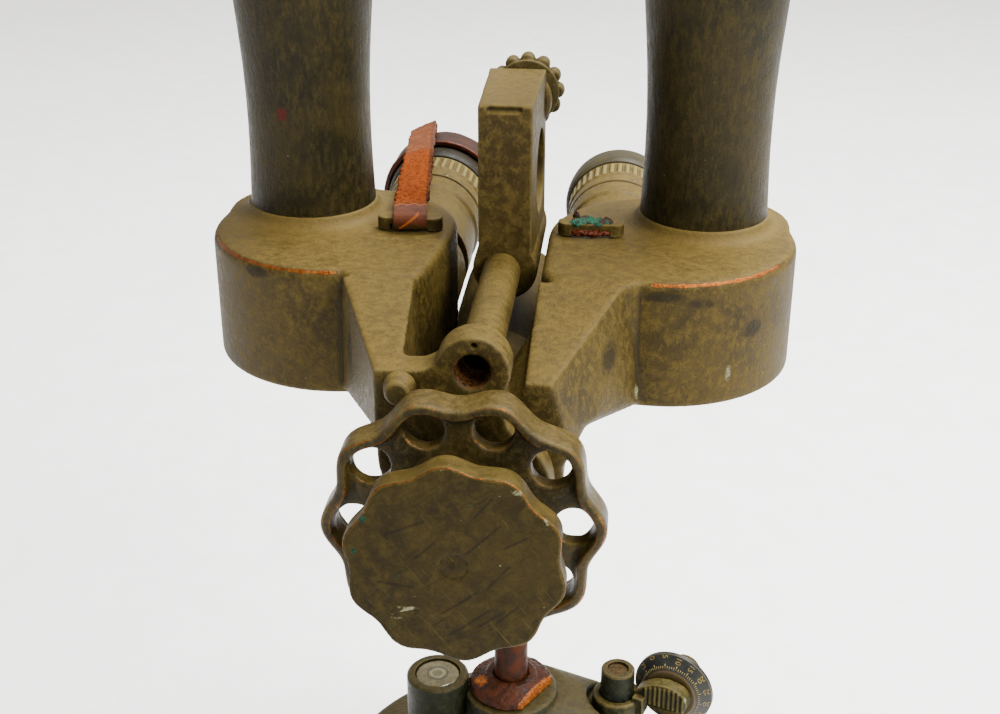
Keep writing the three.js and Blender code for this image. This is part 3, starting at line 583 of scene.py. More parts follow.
def worn_paint(name, light, middle_tone, dark, streak=(1.3, 1, 1.5), streak_size=1.9, dust=0.55, edge=0.0,
               chips=0.35, green=0.0, gloss=0.5, scratches=0.0, shine=0.1):
    """Old brushed paint: mottled tones, dust and painted top light on what faces up, grime and painted shade
    in hollows, metal where it is rubbed.
    """
    paint = Finish(name)
    paint.shine = shine
    broad = paint.noise(22, 5, 0.62, warp=0.5)
    strokes = paint.noise(streak_size, 6, 0.74, streak, warp=0.3)
    grain = paint.noise(0.8, 3, 0.6)
    blotch = paint.noise(7, 5, 0.7, warp=1.2)
    colour = paint.mix(paint.level(broad, 0.36, 0.64), dark, middle_tone)
    colour = paint.mix(paint.level(strokes, 0.42, 0.66, 0, 0.85), colour, light)
    colour = paint.mix(paint.level(grain, 0.45, 0.3, 0, 0.7), colour, dark)
    colour = paint.mix(paint.level(paint.noise(1.8, 5, 0.72, warp=0.6), 0.54, 0.72, 0, 0.4), colour, dark)
    # darker in hollows and inner corners: grime, and painted shade
    hollow = paint.level(paint.plus(paint.mark("hollow"), paint.times(broad, 0.1)), 0.08, 0.5)
    colour = paint.mix(paint.times(hollow, 0.7), colour, srgb(46, 37, 19))
    # paler on faces that point up, by the dust setting: dust, and painted top light
    upward = paint.level(paint.facing("Z"), 0.15, 0.95)
    dust_and_top_light = paint.times(upward, paint.level(strokes, 0.3, 0.62, 0.5 * dust, dust))
    colour = paint.mix(dust_and_top_light, colour, DUST_AND_TOP_LIGHT)
    # stored patch round the tube's foot: dust, and painted light on the flare
    colour = paint.mix(paint.times(paint.mark("dust"), 0.7), colour, DUST_AND_TOP_LIGHT)
    chipped = paint.times(paint.level(blotch, 0.72, 0.76), chips)
    colour = paint.mix(chipped, colour, srgb(52, 40, 24))
    specks = paint.times(paint.level(paint.cells(4.2), 0.07, 0.04), paint.level(broad, 0.5, 0.62))
    colour = paint.mix(paint.times(specks, 0.7), colour, WHITE_SCUFF)
    if green:
        crust = paint.level(paint.noise(3.1, 5, 0.75, warp=1.5), 0.70, 0.76, 0, green)
        colour = paint.mix(crust, colour, VERDIGRIS)
    if scratches:
        lines = paint.noise(1.5, 4, 0.65, (9, 9, 0.4), position=paint.tilted(38))
        colour = paint.mix(paint.level(lines, 0.60, 0.70, 0, scratches), colour, srgb(48, 38, 22))
        hairs = paint.noise(0.9, 3, 0.6, (12, 12, 0.3), position=paint.tilted(-52))
        colour = paint.mix(paint.level(hairs, 0.66, 0.74, 0, scratches), colour, srgb(140, 120, 78))
    pale = paint.plus(paint.times(paint.mark("worn"), 0.7), paint.times(strokes, 0.5))
    colour = paint.mix(paint.level(pale, 0.55, 1.0, 0, 0.5), colour, srgb(148, 127, 84))
    colour = paint.mix(paint.mark("crest"), colour, srgb(186, 164, 120))
    rubbed = paint.level(paint.plus(paint.mark("rub"), paint.times(grain, 0.25)), 0.5, 0.68)
    fringe = paint.minus(paint.level(paint.mark("rub"), 0.1, 0.36), rubbed)
    colour = paint.mix(paint.times(fringe, 0.6), colour, srgb(60, 52, 32))
    metal = rubbed
    if edge:
        spots = paint.plus(paint.times(paint.mark("worn"), 0.8), paint.times(blotch, 0.7))
        metal = paint.larger(rubbed, paint.level(spots, 1.25 - edge, 1.38 - edge))
    colour = paint.mix(metal, colour, paint.mix(paint.level(strokes, 0.4, 0.62), COPPER, BRIGHT_COPPER))
    stain_edge = paint.plus(paint.mark("stain"), paint.times(strokes, 0.9))
    stained = paint.level(stain_edge, 0.78, 0.95, 0, 0.75)
    colour = paint.mix(stained, colour, srgb(38, 32, 18))
    mould = paint.level(paint.plus(paint.mark("mould"), paint.times(blotch, 0.6)), 0.8, 0.92)
    colour = paint.mix(mould, colour, paint.mix(paint.level(grain, 0.4, 0.6), DEEP_VERDIGRIS, VERDIGRIS))
    primer = paint.level(paint.plus(paint.mark("primer"), paint.times(blotch, 0.5)), 0.72, 0.8)
    colour = paint.mix(primer, colour, PRIMER)
    scuffed = paint.level(paint.plus(paint.mark("scuff"), paint.times(grain, 0.5)), 0.66, 0.82)
    colour = paint.mix(scuffed, colour, WHITE_SCUFF)
    colour = paint.mix(paint.mark("black"), colour, srgb(24, 21, 15))
    rust_colour = paint.mix(paint.level(grain, 0.4, 0.62), srgb(48, 32, 18), srgb(128, 88, 52))
    colour = paint.mix(paint.mark("rust"), colour, rust_colour)
    rough = paint.level(strokes, 0.3, 0.7, gloss - 0.08, gloss + 0.16)
    rough = paint.minus(rough, paint.times(metal, 0.14))
    relief = paint.plus(paint.times(strokes, 0.7), paint.times(grain, 0.3))
    normal = paint.bump(relief, 0.55, 0.9)
    normal = paint.bump(paint.minus(1.0, chipped), 0.16, 0.8, normal)
    return paint.done(colour, rough, normal, paint.times(metal, 0.85))


def paper_finish(name):
    """White wall paper with faint wrinkles and smudges."""
    paper = Finish(name)
    wrinkles = paper.noise(26, 6, 0.62, warp=0.5)
    smudges = paper.level(paper.noise(90, 5, 0.7, (2.5, 1, 1), warp=1.2), 0.62, 0.78, 0, 0.35)
    colour = paper.mix(paper.level(wrinkles, 0.3, 0.7), (0.93, 0.91, 0.895, 1), (0.98, 0.97, 0.96, 1))
    colour = paper.mix(smudges, colour, (0.84, 0.8, 0.77, 1))
    return paper.done(colour, 0.85, paper.bump(wrinkles, 1.2, 0.35))


def rust_finish(name, dark, light, glow):
    """Thick layered rust, glassy brown with bright orange where it has been broken open."""
    rust = Finish(name)
    rust.shine = 0.12
    broad = rust.noise(8, 6, 0.7, warp=1.5)
    fine = rust.noise(0.8, 4, 0.7)
    colour = rust.mix(rust.level(broad, 0.35, 0.65), dark, light)
    open_rust = rust.level(rust.plus(rust.mark("rub"), rust.times(broad, 0.75)), 0.5, 0.72)
    colour = rust.mix(open_rust, colour, rust.mix(rust.level(fine, 0.4, 0.6), glow, srgb(128, 70, 28)))
    pitted = rust.level(rust.cells(1.6), 0.16, 0.06, 0, 0.7)
    colour = rust.mix(pitted, colour, srgb(30, 17, 12))
    relief = rust.plus(rust.times(broad, 0.8), rust.times(fine, 0.35))
    normal = rust.bump(rust.minus(relief, pitted), 0.5, 0.7)
    return rust.done(colour, rust.level(broad, 0.35, 0.7, 0.4, 0.7), normal)


def steel_finish(name):
    steel = Finish(name)
    lines = steel.noise(0.5, 3, 0.6, (0.4, 30, 0.4))
    film = steel.noise(9, 4, 0.6)
    colour = steel.mix(steel.level(film, 0.4, 0.66), srgb(122, 118, 108), srgb(82, 72, 58))
    return steel.done(colour, steel.level(lines, 0.3, 0.7, 0.28, 0.46), steel.bump(lines, 0.05, 0.5), 0.95)


def brass_finish(name):
    brass = Finish(name)
    film = brass.noise(7, 5, 0.65, warp=0.8)
    fine = brass.noise(0.7, 3, 0.6)
    colour = brass.mix(brass.level(film, 0.36, 0.66), srgb(164, 128, 66), srgb(96, 72, 36))
    colour = brass.mix(brass.times(brass.mark("hollow"), 0.8), colour, srgb(44, 34, 20))
    colour = brass.mix(brass.level(brass.mark("worn"), 0.35, 0.9, 0, 0.7), colour, srgb(206, 168, 96))
    return brass.done(colour, brass.level(film, 0.3, 0.7, 0.3, 0.5), brass.bump(fine, 0.06, 0.5), 0.9)


def suede_finish(name):
    """Rough strap leather: torn orange nap with dark clefts, polished brown where it bends."""
    hide = Finish(name)
    hide.shine = 0.1
    nap = hide.noise(1.3, 7, 0.8, (1, 1.6, 1), warp=1.0)
    patches = hide.noise(8, 4, 0.6, warp=0.6)
    colour = hide.mix(hide.level(nap, 0.34, 0.58), srgb(150, 78, 28), srgb(222, 128, 48))
    colour = hide.mix(hide.level(nap, 0.58, 0.74, 0, 0.8), colour, srgb(232, 148, 76))
    clefts = hide.level(hide.noise(2.2, 5, 0.8, (1.8, 0.7, 1), warp=1.8), 0.62, 0.71)
    colour = hide.mix(hide.times(clefts, 0.8), colour, srgb(84, 32, 12))
    worn_smooth = hide.level(hide.plus(hide.mark("smooth"), hide.times(patches, 0.4)), 0.5, 0.85)
    creases = hide.noise(1.6, 5, 0.7, (3, 1, 3), position=hide.tilted(40))
    polish = hide.mix(hide.level(creases, 0.4, 0.64), srgb(146, 86, 44), srgb(190, 122, 68))
    colour = hide.mix(worn_smooth, colour, polish)
    cut_edge = hide.level(hide.mark("side"), 0.35, 0.7, 0, 0.9)
    bare_hide = hide.mix(hide.level(patches, 0.4, 0.6), srgb(108, 66, 42), srgb(140, 90, 58))
    colour = hide.mix(cut_edge, colour, bare_hide)
    loop = hide.level(hide.mark("loop"), 0.3, 0.7)
    loop_colour = hide.mix(hide.level(patches, 0.4, 0.62), srgb(96, 56, 38), srgb(136, 84, 58))
    colour = hide.mix(loop, colour, loop_colour)
    colour = hide.mix(hide.times(hide.mark("olive"), 0.75), colour, srgb(88, 74, 46))
    stroke = hide.level(hide.plus(hide.mark("scuff"), hide.times(nap, 0.4)), 0.6, 0.85)
    colour = hide.mix(stroke, colour, srgb(224, 136, 66))
    relief = hide.minus(nap, hide.times(clefts, 0.8))
    depth = hide.minus(1.0, hide.times(hide.larger(worn_smooth, loop), 0.75))
    normal = hide.bump(hide.times(relief, depth), 0.9, 0.9)
    rough = hide.minus(0.9, hide.times(hide.larger(worn_smooth, loop), 0.42))
    return hide.done(colour, rough, normal)


def smooth_leather_finish(name, dark, light, edge_colour):
    """Moulded leather with a fine pebble, creases and scuffed edges."""
    hide = Finish(name)
    hide.shine = 0.15
    pebble = hide.cells(1.1, "SMOOTH_F1")
    patches = hide.noise(10, 5, 0.65, warp=0.8)
    creases = hide.noise(4, 5, 0.75, warp=1.6)
    colour = hide.mix(hide.level(patches, 0.38, 0.64), dark, light)
    colour = hide.mix(hide.level(creases, 0.62, 0.72, 0, 0.7), colour, srgb(30, 14, 12))
    colour = hide.mix(hide.level(hide.mark("worn"), 0.3, 0.85, 0, 0.9), colour, edge_colour)
    relief = hide.plus(hide.times(pebble, 0.4), creases)
    return hide.done(colour, hide.level(patches, 0.35, 0.7, 0.38, 0.6), hide.bump(relief, 0.3, 0.6))


def rubber_finish(name, dark, light):
    """Aged eyecup rubber, grey on its crest from dust and painted top light."""
    rubber = Finish(name)
    rubber.shine = 0.15
    bloom = rubber.noise(6, 5, 0.65, warp=0.7)
    fine = rubber.noise(0.6, 3, 0.6)
    # paler where the rubber faces up: dust, and painted top light
    upward = rubber.level(rubber.facing("Z"), -0.1, 0.75)
    colour = rubber.mix(rubber.times(upward, rubber.level(bloom, 0.3, 0.6, 0.5, 1.0)), dark, light)
    colour = rubber.mix(rubber.level(rubber.cells(3.4), 0.07, 0.04, 0, 0.6), colour, srgb(196, 182, 152))
    return rubber.done(colour, rubber.level(bloom, 0.3, 0.7, 0.42, 0.68), rubber.bump(fine, 0.1, 0.6))


def dial_finish(name, olive_to=0):
    """Satin black with handling wear; inside a radius the paint is olive, behind a rubbed brown ring."""
    black = Finish(name)
    film = black.noise(5, 4, 0.6)
    fine = black.noise(0.5, 3, 0.6)
    colour = black.mix(black.level(film, 0.35, 0.65), srgb(24, 24, 22), srgb(50, 48, 42))
    worn = black.level(black.plus(black.mark("worn"), black.times(film, 0.6)), 0.8, 1.1)
    colour = black.mix(worn, colour, srgb(120, 98, 60))
    if olive_to:
        radius = black.plus(black.mark("radius"), black.times(film, 0.6))
        colour = black.mix(black.level(radius, olive_to + 1.1, olive_to + 0.8), colour, srgb(104, 82, 50))
        colour = black.mix(black.level(radius, olive_to + 0.4, olive_to), colour, srgb(98, 82, 46))
    return black.done(colour, black.level(film, 0.3, 0.7, 0.36, 0.56), black.bump(fine, 0.05, 0.5))


def figure_finish(name):
    """Brass-coloured filling of engraved figures, slightly dirty."""
    fill = Finish(name)
    film = fill.noise(0.8, 4, 0.65)
    colour = fill.mix(fill.level(film, 0.35, 0.7), srgb(206, 178, 116), srgb(140, 114, 66))
    return fill.done(colour, 0.5, fill.bump(film, 0.04, 0.4))


def lens_finish(name, tint):
    """Coated glass with a little dust."""
    glass = Finish(name)
    dust = glass.noise(1.4, 5, 0.7)
    glass.shader.inputs["Transmission Weight"].default_value = 0.92
    glass.shader.inputs["IOR"].default_value = 1.52
    glass.shader.inputs["Coat Weight"].default_value = 0.3
    haze = glass.level(dust, 0.55, 0.8)
    return glass.done(glass.mix(haze, tint, srgb(206, 200, 186)), glass.times(haze, 0.35))


def level_finish(name):
    """Yellowed glass of the round level, with a dark engraved circle and the bubble's pale ring."""
    glass = Finish(name)
    radius = glass.mark("radius")
    film = glass.noise(2.4, 4, 0.6)
    colour = glass.mix(glass.level(film, 0.35, 0.65), srgb(112, 96, 66), srgb(144, 128, 94))
    circle = glass.times(glass.level(radius, 3.4, 3.6), glass.level(radius, 4.1, 3.9))
    colour = glass.mix(circle, colour, srgb(56, 47, 32))
    bubble = glass.times(glass.level(radius, 2.0, 2.2), glass.level(radius, 2.7, 2.5))
    colour = glass.mix(glass.times(bubble, 0.6), colour, srgb(206, 196, 160))
    glass.shader.inputs["Coat Weight"].default_value = 0.6
    glass.shader.inputs["Coat Roughness"].default_value = 0.06
    return glass.done(colour, glass.level(film, 0.3, 0.7, 0.14, 0.26))


def crust_finish(name):
    """Turquoise and white copper salts over torn brown leather."""
    crust = Finish(name)
    grains = crust.noise(0.9, 6, 0.8, warp=1.2)
    patches = crust.noise(3.5, 4, 0.6, warp=0.6)
    colour = crust.mix(crust.level(grains, 0.4, 0.6), srgb(58, 48, 32), srgb(112, 62, 40))
    salts = crust.mix(crust.level(grains, 0.42, 0.58), srgb(36, 84, 66), srgb(92, 158, 132))
    colour = crust.mix(crust.level(patches, 0.44, 0.54), colour, salts)
    colour = crust.mix(crust.level(grains, 0.60, 0.68, 0, 0.9), colour, srgb(190, 206, 184))
    return crust.done(colour, 0.85, crust.bump(grains, 0.8, 0.8))


HOUSING_PAINT = worn_paint("olive_paint", srgb(134, 112, 64), srgb(104, 86, 46), srgb(76, 62, 32),
                           dust=0.55, green=0.08)
TUBE_PAINT = worn_paint("dark_olive_paint", srgb(92, 78, 46), srgb(68, 57, 32), srgb(42, 37, 23),
                        streak=(0.9, 0.9, 2.4), dust=0.2, chips=0.6, gloss=0.4)
BRACKET_PAINT = worn_paint("bracket_paint", srgb(134, 112, 68), srgb(108, 90, 52), srgb(78, 63, 35),
                           streak=(1.2, 1.2, 1.4), streak_size=2.2, dust=0.75, chips=0.3)
WHEEL_PAINT = worn_paint("wheel_paint", srgb(106, 89, 54), srgb(82, 68, 38), srgb(52, 43, 23),
                         dust=0.4, edge=0.26, green=0.1, gloss=0.36, shine=0.12)
DISC_PAINT = worn_paint("disc_paint", srgb(92, 78, 44), srgb(76, 63, 34), srgb(54, 44, 23), streak_size=3,
                        dust=0.3, green=0.2, chips=0.6, gloss=0.4, scratches=0.7, shine=0.05)
HINGE_PAINT = worn_paint("hinge_paint", srgb(92, 78, 46), srgb(66, 55, 31), srgb(42, 35, 20), dust=0.45)
MOUNT_PAINT = worn_paint("mount_paint", srgb(66, 62, 44), srgb(42, 42, 30), srgb(26, 28, 21),
                         dust=0.26, chips=0.3, gloss=0.4)
LEVER_PAINT = worn_paint("lever_paint", srgb(96, 88, 52), srgb(66, 62, 38), srgb(38, 37, 24),
                         dust=0.3, chips=0.3, gloss=0.4)
FOCUS_PAINT = worn_paint("focus_ring_paint", srgb(150, 126, 82), srgb(126, 105, 66), srgb(92, 76, 45),
                         dust=0.5, chips=0.2, gloss=0.44)
ROD_PAINT = worn_paint("rod_paint", srgb(132, 111, 68), srgb(112, 94, 56), srgb(82, 68, 39),
                       dust=0.5, chips=0.3, gloss=0.46)
KNOB_PAINT = worn_paint("bead_knob_paint", srgb(148, 130, 90), srgb(122, 104, 68), srgb(82, 68, 42),
                        dust=0.45, chips=0.2)
RUST = rust_finish("rusted_steel", srgb(58, 36, 22), srgb(104, 60, 32), srgb(222, 142, 58))
STEEL = steel_finish("bare_steel")
BRASS = brass_finish("brass")
STRAP = suede_finish("strap_leather")
CAP_LEATHER = smooth_leather_finish("cap_leather", srgb(58, 36, 26), srgb(96, 60, 42), srgb(158, 88, 46))
REMNANT = smooth_leather_finish("torn_leather", srgb(74, 40, 26), srgb(122, 64, 40), srgb(140, 76, 46))
LEFT_RUBBER = rubber_finish("dark_rubber", srgb(30, 26, 20), srgb(56, 47, 34))
RIGHT_RUBBER = rubber_finish("grey_rubber", srgb(42, 37, 28), srgb(96, 84, 62))
DIAL_BLACK = dial_finish("dial_black")
DIAL_FACE = dial_finish("dial_face", olive_to=9.5)
FIGURES = figure_finish("dial_figures")
GLASS = lens_finish("optical_glass", (0.86, 0.93, 0.92, 1))
WINDOW_GLASS = lens_finish("window_glass", (0.72, 0.85, 0.9, 1))
LEVEL_GLASS = level_finish("level_liquid")
CRUST = crust_finish("verdigris_crust")


# ---- arms ---------------------------------------------------------------------------------------

TUBE_X = 58.6
DRUM_X, DRUM_Y, DRUM_RADIUS = 47, -12.3, 38.2
DRUM_BOTTOM, DRUM_TOP, DRUM_EDGE = 2.6, 40, 2.6
INNER_WALL = 13.6
WALL = 3.6
EYE_X, EYE_Z = 32.5, 11.7
ROD_X, ROD_Z, ROD_RADIUS, ROD_BORE = 1.6, 34.4, 5.4, 4.2
ROD_SEAT = (ROD_X - 0.8, 0, ROD_Z)
LEFT_LUG_FRONT, LEFT_LUG_BACK, LEFT_LUG_RADIUS = -98, -88.5, 21
RIGHT_LUG_FRONT, RIGHT_LUG_BACK, RIGHT_LUG_RADIUS = -88.2, -65.2, 23
BOLT_BORE = 6.25
BARREL_WIDE, BARREL_SLIM = 20, 16.4
BARREL_FRONT, BARREL_SHOULDER, BARREL_WAIST, BARREL_BACK = -64.9, -40, -35, 38
SPINDLE_Y = -1000 * HEAD_ORIGIN.y


def housing_outline(side, inset):
    """Plan of a prism housing: a round drum whose inner side runs straight on towards the spur."""
    radius = DRUM_RADIUS - inset
    inner = INNER_WALL + inset
    inner_radius = DRUM_X - inner
    points = []
    for step in range(49):
        angle = math.radians(-100 + 190 * step / 48)
        points.append((DRUM_X + radius * math.cos(angle), DRUM_Y + radius * math.sin(angle)))
    for step in range(17):
        angle = math.radians(96 + 84 * step / 16)
        points.append((DRUM_X + inner_radius * math.cos(angle), DRUM_Y + inner_radius * math.sin(angle)))
    if side < 0:
        points += [(inner + 0.4, -20), (inner + 4.2, -47), (inner + 6, -52 + inset), (36, -54 + inset)]
    else:
        points += [(inner, -44), (inner + 4, -52 + inset), (36, -54 + inset)]
    return [(side * x, y) for x, y in points]


def housing_drum(side):
    """Drum with rounded upper and lower rims."""
    levels = arc_levels(DRUM_BOTTOM, DRUM_TOP, 1.0, DRUM_EDGE)
    return loft([[(x, y, z) for x, y in housing_outline(side, inset)] for inset, z in levels])


def tube_foot(side):
    """Flared ring round the foot of the tube."""
    profile = [(0, 38), (25.6, 38), (25.6, 39.9)]
    for step in range(9):
        angle = math.pi / 2 * step / 8
        profile.append((24.4 - 5.0 * math.sin(angle), 39.9 + 3.6 * (1 - math.cos(angle))))
    profile.append((0, 43.5))
    return turned(profile, at=(side * TUBE_X, 0, 0))


def left_spur():
    return convex([
        (-40, -52, 39.6), (-20.3, -50, 39.6), (-23.5, LEFT_LUG_FRONT, 34), (-16.9, LEFT_LUG_FRONT, 34),
        (-43, -46, 3.2), (-18, -46, 3.2), (-23.5, LEFT_LUG_FRONT, 17), (-16.6, LEFT_LUG_FRONT, 17),
    ])


def left_lug():
    """Plate with the knuckle on the hinge bolt and, above it, the boss for the rod."""
    plate = rounded([
        (-23.5, 34), (-16.9, 34), (-10, 34.6), (-6.0, 37.4), (ROD_X, ROD_Z), (14, 12), (0, -LEFT_LUG_RADIUS),
        (-14, -16), (-20, -6), (-23.5, 8),
    ], 2.5, closed=True)
    neck = convex([
        (x, y, z) for y in (LEFT_LUG_FRONT, LEFT_LUG_BACK)
        for x, z in ((-13.5, 22), (-11.5, 34.4), (-5.5, 37.6), (8, 38), (9, 20))
    ])
    boss = rod(9.4, LEFT_LUG_FRONT, LEFT_LUG_BACK, "Y", ROD_SEAT, edge=0.9)
    knuckle = rod(LEFT_LUG_RADIUS, LEFT_LUG_FRONT, LEFT_LUG_BACK, "Y")
    return [pulled(plate, LEFT_LUG_FRONT, LEFT_LUG_BACK, "Y"), neck, boss, knuckle]


def right_spur():
    return convex([
        (13.4, -50, 39.6), (36, -53, 39.6), (12.6, RIGHT_LUG_FRONT, 27), (19.5, RIGHT_LUG_FRONT, 27),
        (14.2, -48, 8), (43, -48, 3.2), (12.6, RIGHT_LUG_FRONT, 14), (21, RIGHT_LUG_FRONT, 12),
        (35.8, -62, 8.6), (31, -75, 12),
    ])


def right_lug():
    web = convex([
        (13.6, -66, 33), (26, -66, 33), (31, -66, 12), (27, -66, 4), (12, -66, -18), (0, -66, 10),
        (13.6, -88.2, 27), (19.5, -88.2, 27), (25, -88.2, 8),
        (22, -88.2, 2), (12, -88.2, -18), (0, -88.2, 10),
    ])
    return [web, rod(RIGHT_LUG_RADIUS, RIGHT_LUG_FRONT, RIGHT_LUG_BACK, "Y")]


def cover_outline(side, inset):
    """Round plate with one straight inner side and straight front and back, inside the drum's wall."""
    radius = DRUM_RADIUS - WALL - inset
    inner = INNER_WALL + WALL + inset
    points = []
    for step in range(96):
        angle = TAU * step / 96
        x = DRUM_X + radius * math.cos(angle)
        y = DRUM_Y + radius * math.sin(angle)
        points.append((side * max(x, inner), min(max(y, -46 + inset), 20 - inset)))
    return points


def round_box(x0, x1, y0, y1, z0, z1):
    return pulled([(x0, y0), (x1, y0), (x1, y1), (x0, y1)], z0, z1)


def add_housing(side, label):
    """Sand-cast arm: drum, spur, hinge knuckle and eyepiece seat."""
    seat = turned(rounded([(0, -6), (17.2, -6), (17.2, 24), (15.3, 24.8), (15.3, 30), (0, 30)], 0.6), "Y",
                  (side * EYE_X, 0, EYE_Z))
    hinge = [left_spur(), *left_lug()] if side < 0 else [right_spur(), *right_lug()]
    barrel_room = turned([
        (0, RIGHT_LUG_BACK), (BARREL_WIDE + 0.5, RIGHT_LUG_BACK), (BARREL_WIDE + 0.5, BARREL_SHOULDER + 2),
        (BARREL_SLIM + 0.5, BARREL_WAIST + 0.5), (BARREL_SLIM + 0.5, 60), (0, 60),
    ], "Y")
    cuts = [
        pulled(cover_outline(side, 0), DRUM_BOTTOM - 12, DRUM_BOTTOM + 2.6),
        round_box(side * EYE_X - 30, side * EYE_X + 30, -46, 60, -30, DRUM_BOTTOM),
        rod(12.3, 12, 40, "Y", (side * EYE_X, 0, EYE_Z)),
        rod(BOLT_BORE, -120, -60, "Y"),
        barrel_room,
    ]
    if side < 0:
        cuts.append(rod(RIGHT_LUG_RADIUS + 0.6, LEFT_LUG_BACK, RIGHT_LUG_BACK + 1, "Y"))
        cuts.append(rod(ROD_BORE, -110, -80, "Y", ROD_SEAT))
        countersink = [(0, -98.6), (ROD_BORE + 1.5, -98.6), (ROD_BORE - 0.1, -96.8), (0, -96.8)]
        cuts.append(turned(countersink, "Y", ROD_SEAT))
        cuts.append(rod(0.85, -99, -93, "Y", (ROD_SEAT[0] + 0.4, 0, ROD_Z + 7)))
        cuts.append(rod(0.8, -56, -47, "Y", (-36.4, 0, 7.2)))
    adds = [housing_drum(side), tube_foot(side), seat, *hinge]
    piece = shaped(f"{label}_prism_housing_casting", adds, cuts, HEAD, voxel=0.62, smooth=9)
    mark_housing(piece, side)
    place(piece, f"{label}_arm", HOUSING_PAINT, "olive_paint", f"{label}_prism_housing")


def spot(points, centre, radii):
    """1 at the centre of a soft patch, 0 outside it."""
    away = np.linalg.norm((points - np.array(centre, float)) / np.array(radii, float), axis=1)
    return np.clip(1.2 - away, 0, 1)


def mark_housing(piece, side):
    """Copper line along the drum's front rim, and the stains and bores of each casting."""
    points = local_points(piece, HEAD)
    x, y, z = points.T
    angle = np.degrees(np.arctan2(y - DRUM_Y, side * (x - side * DRUM_X)))
    from_axis = np.hypot(x - side * DRUM_X, y - DRUM_Y)
    rim = np.hypot(from_axis - (DRUM_RADIUS - 0.9), z - (DRUM_TOP - 0.9))
    reach = (-99, -14) if side < 0 else (-97, -22)
    fade = np.clip((angle - reach[0]) / 3, 0, 1) * np.clip((reach[1] - angle) / 16, 0, 1)
    broken = 0.72 + 0.28 * np.sin(angle * 0.9) * np.sin(angle * 0.37 + 1)
    store(piece, "rub", np.clip(1.25 - rim / (0.9 * broken), 0, 1) * fade)
    from_tube = np.hypot(x - side * TUBE_X, y)
    # paler round the tube's foot: dust, and painted light where the flare catches it
    store(piece, "dust", np.clip((30 - from_tube) / 8, 0, 1) * np.clip((z - 38.6) / 2, 0, 1) * 0.7)
    if side < 0:
        stains = [((-66, -46, 37), (9, 6, 3)), ((-44, -53, 30), (3, 4, 12)), ((-36, -60, 22), (3, 14, 16))]
        bore = np.hypot(x - ROD_SEAT[0], z - ROD_Z)
        store(piece, "rust", np.clip((4.9 - bore) / 0.5, 0, 1) * (y < -86))
    else:
        stains = [((72, -41, 24), (6, 6, 5)), ((60, -50, 34), (12, 4, 3)), ((33, -62, 24), (4, 16, 8)),
                  ((47, -50, 36), (10, 4, 3))]
        scuffs = spot(points, (41, -52, 8), (2.2, 3, 5)) + spot(points, (66, -46, 12), (2, 4, 6))
        store(piece, "scuff", np.clip(scuffs, 0, 1) * 0.55)
    store(piece, "stain", sum_spots(points, stains) * 0.6)


def sum_spots(points, spots):
    total = np.zeros(len(points))
    for centre, radii in spots:
        total = np.maximum(total, spot(points, centre, radii))
    return total


def tube_shell(side):
    """Long sight tube, waisted above its foot and widening towards the head."""
    outer = [
        (19.0, 40.3), (18.7, 44), (18.25, 55), (18.0, 66), (18.2, 80), (18.9, 92), (19.9, 104),
        (20.8, 115), (21.5, 126), (21.9, 138), (22, 150), (22, 231.4), (21.4, 232),
    ]
    inner = [(19.6, 232), (19.6, 150), (15.8, 76), (15.8, 40.3)]
    return turned(spaced(smoothed(outer) + inner), at=(side * TUBE_X, 0, 0), segments=112, closed=True)


def add_tube(side, label):
    piece = build(f"{label}_sight_tube", [tube_shell(side)], HEAD)
    points = local_points(piece, HEAD)
    if side < 0:
        primers = [((-62.6, -18, 74), (4.2, 6, 5.5)), ((-66, -18, 128), (3, 6, 5))]
        stains = [((-48, -15, 64), (5, 8, 12)), ((-68, -16, 138), (6, 8, 4)), ((-58, -18, 48), (16, 8, 5))]
    else:
        primers = [((63, -18, 142), (4, 6, 4))]
        stains = [((66, -17, 60), (10, 8, 14)), ((52, -17, 50), (10, 8, 7)), ((70, -16, 108), (6, 8, 8))]
    store(piece, "primer", sum_spots(points, primers) * 0.62)
    store(piece, "stain", sum_spots(points, stains) * 0.42)
    place(piece, f"{label}_arm", TUBE_PAINT, "dark_olive_paint", f"{label}_tube")


HEAD_PORT_Z = 258                    # axis of the window in a tube's head


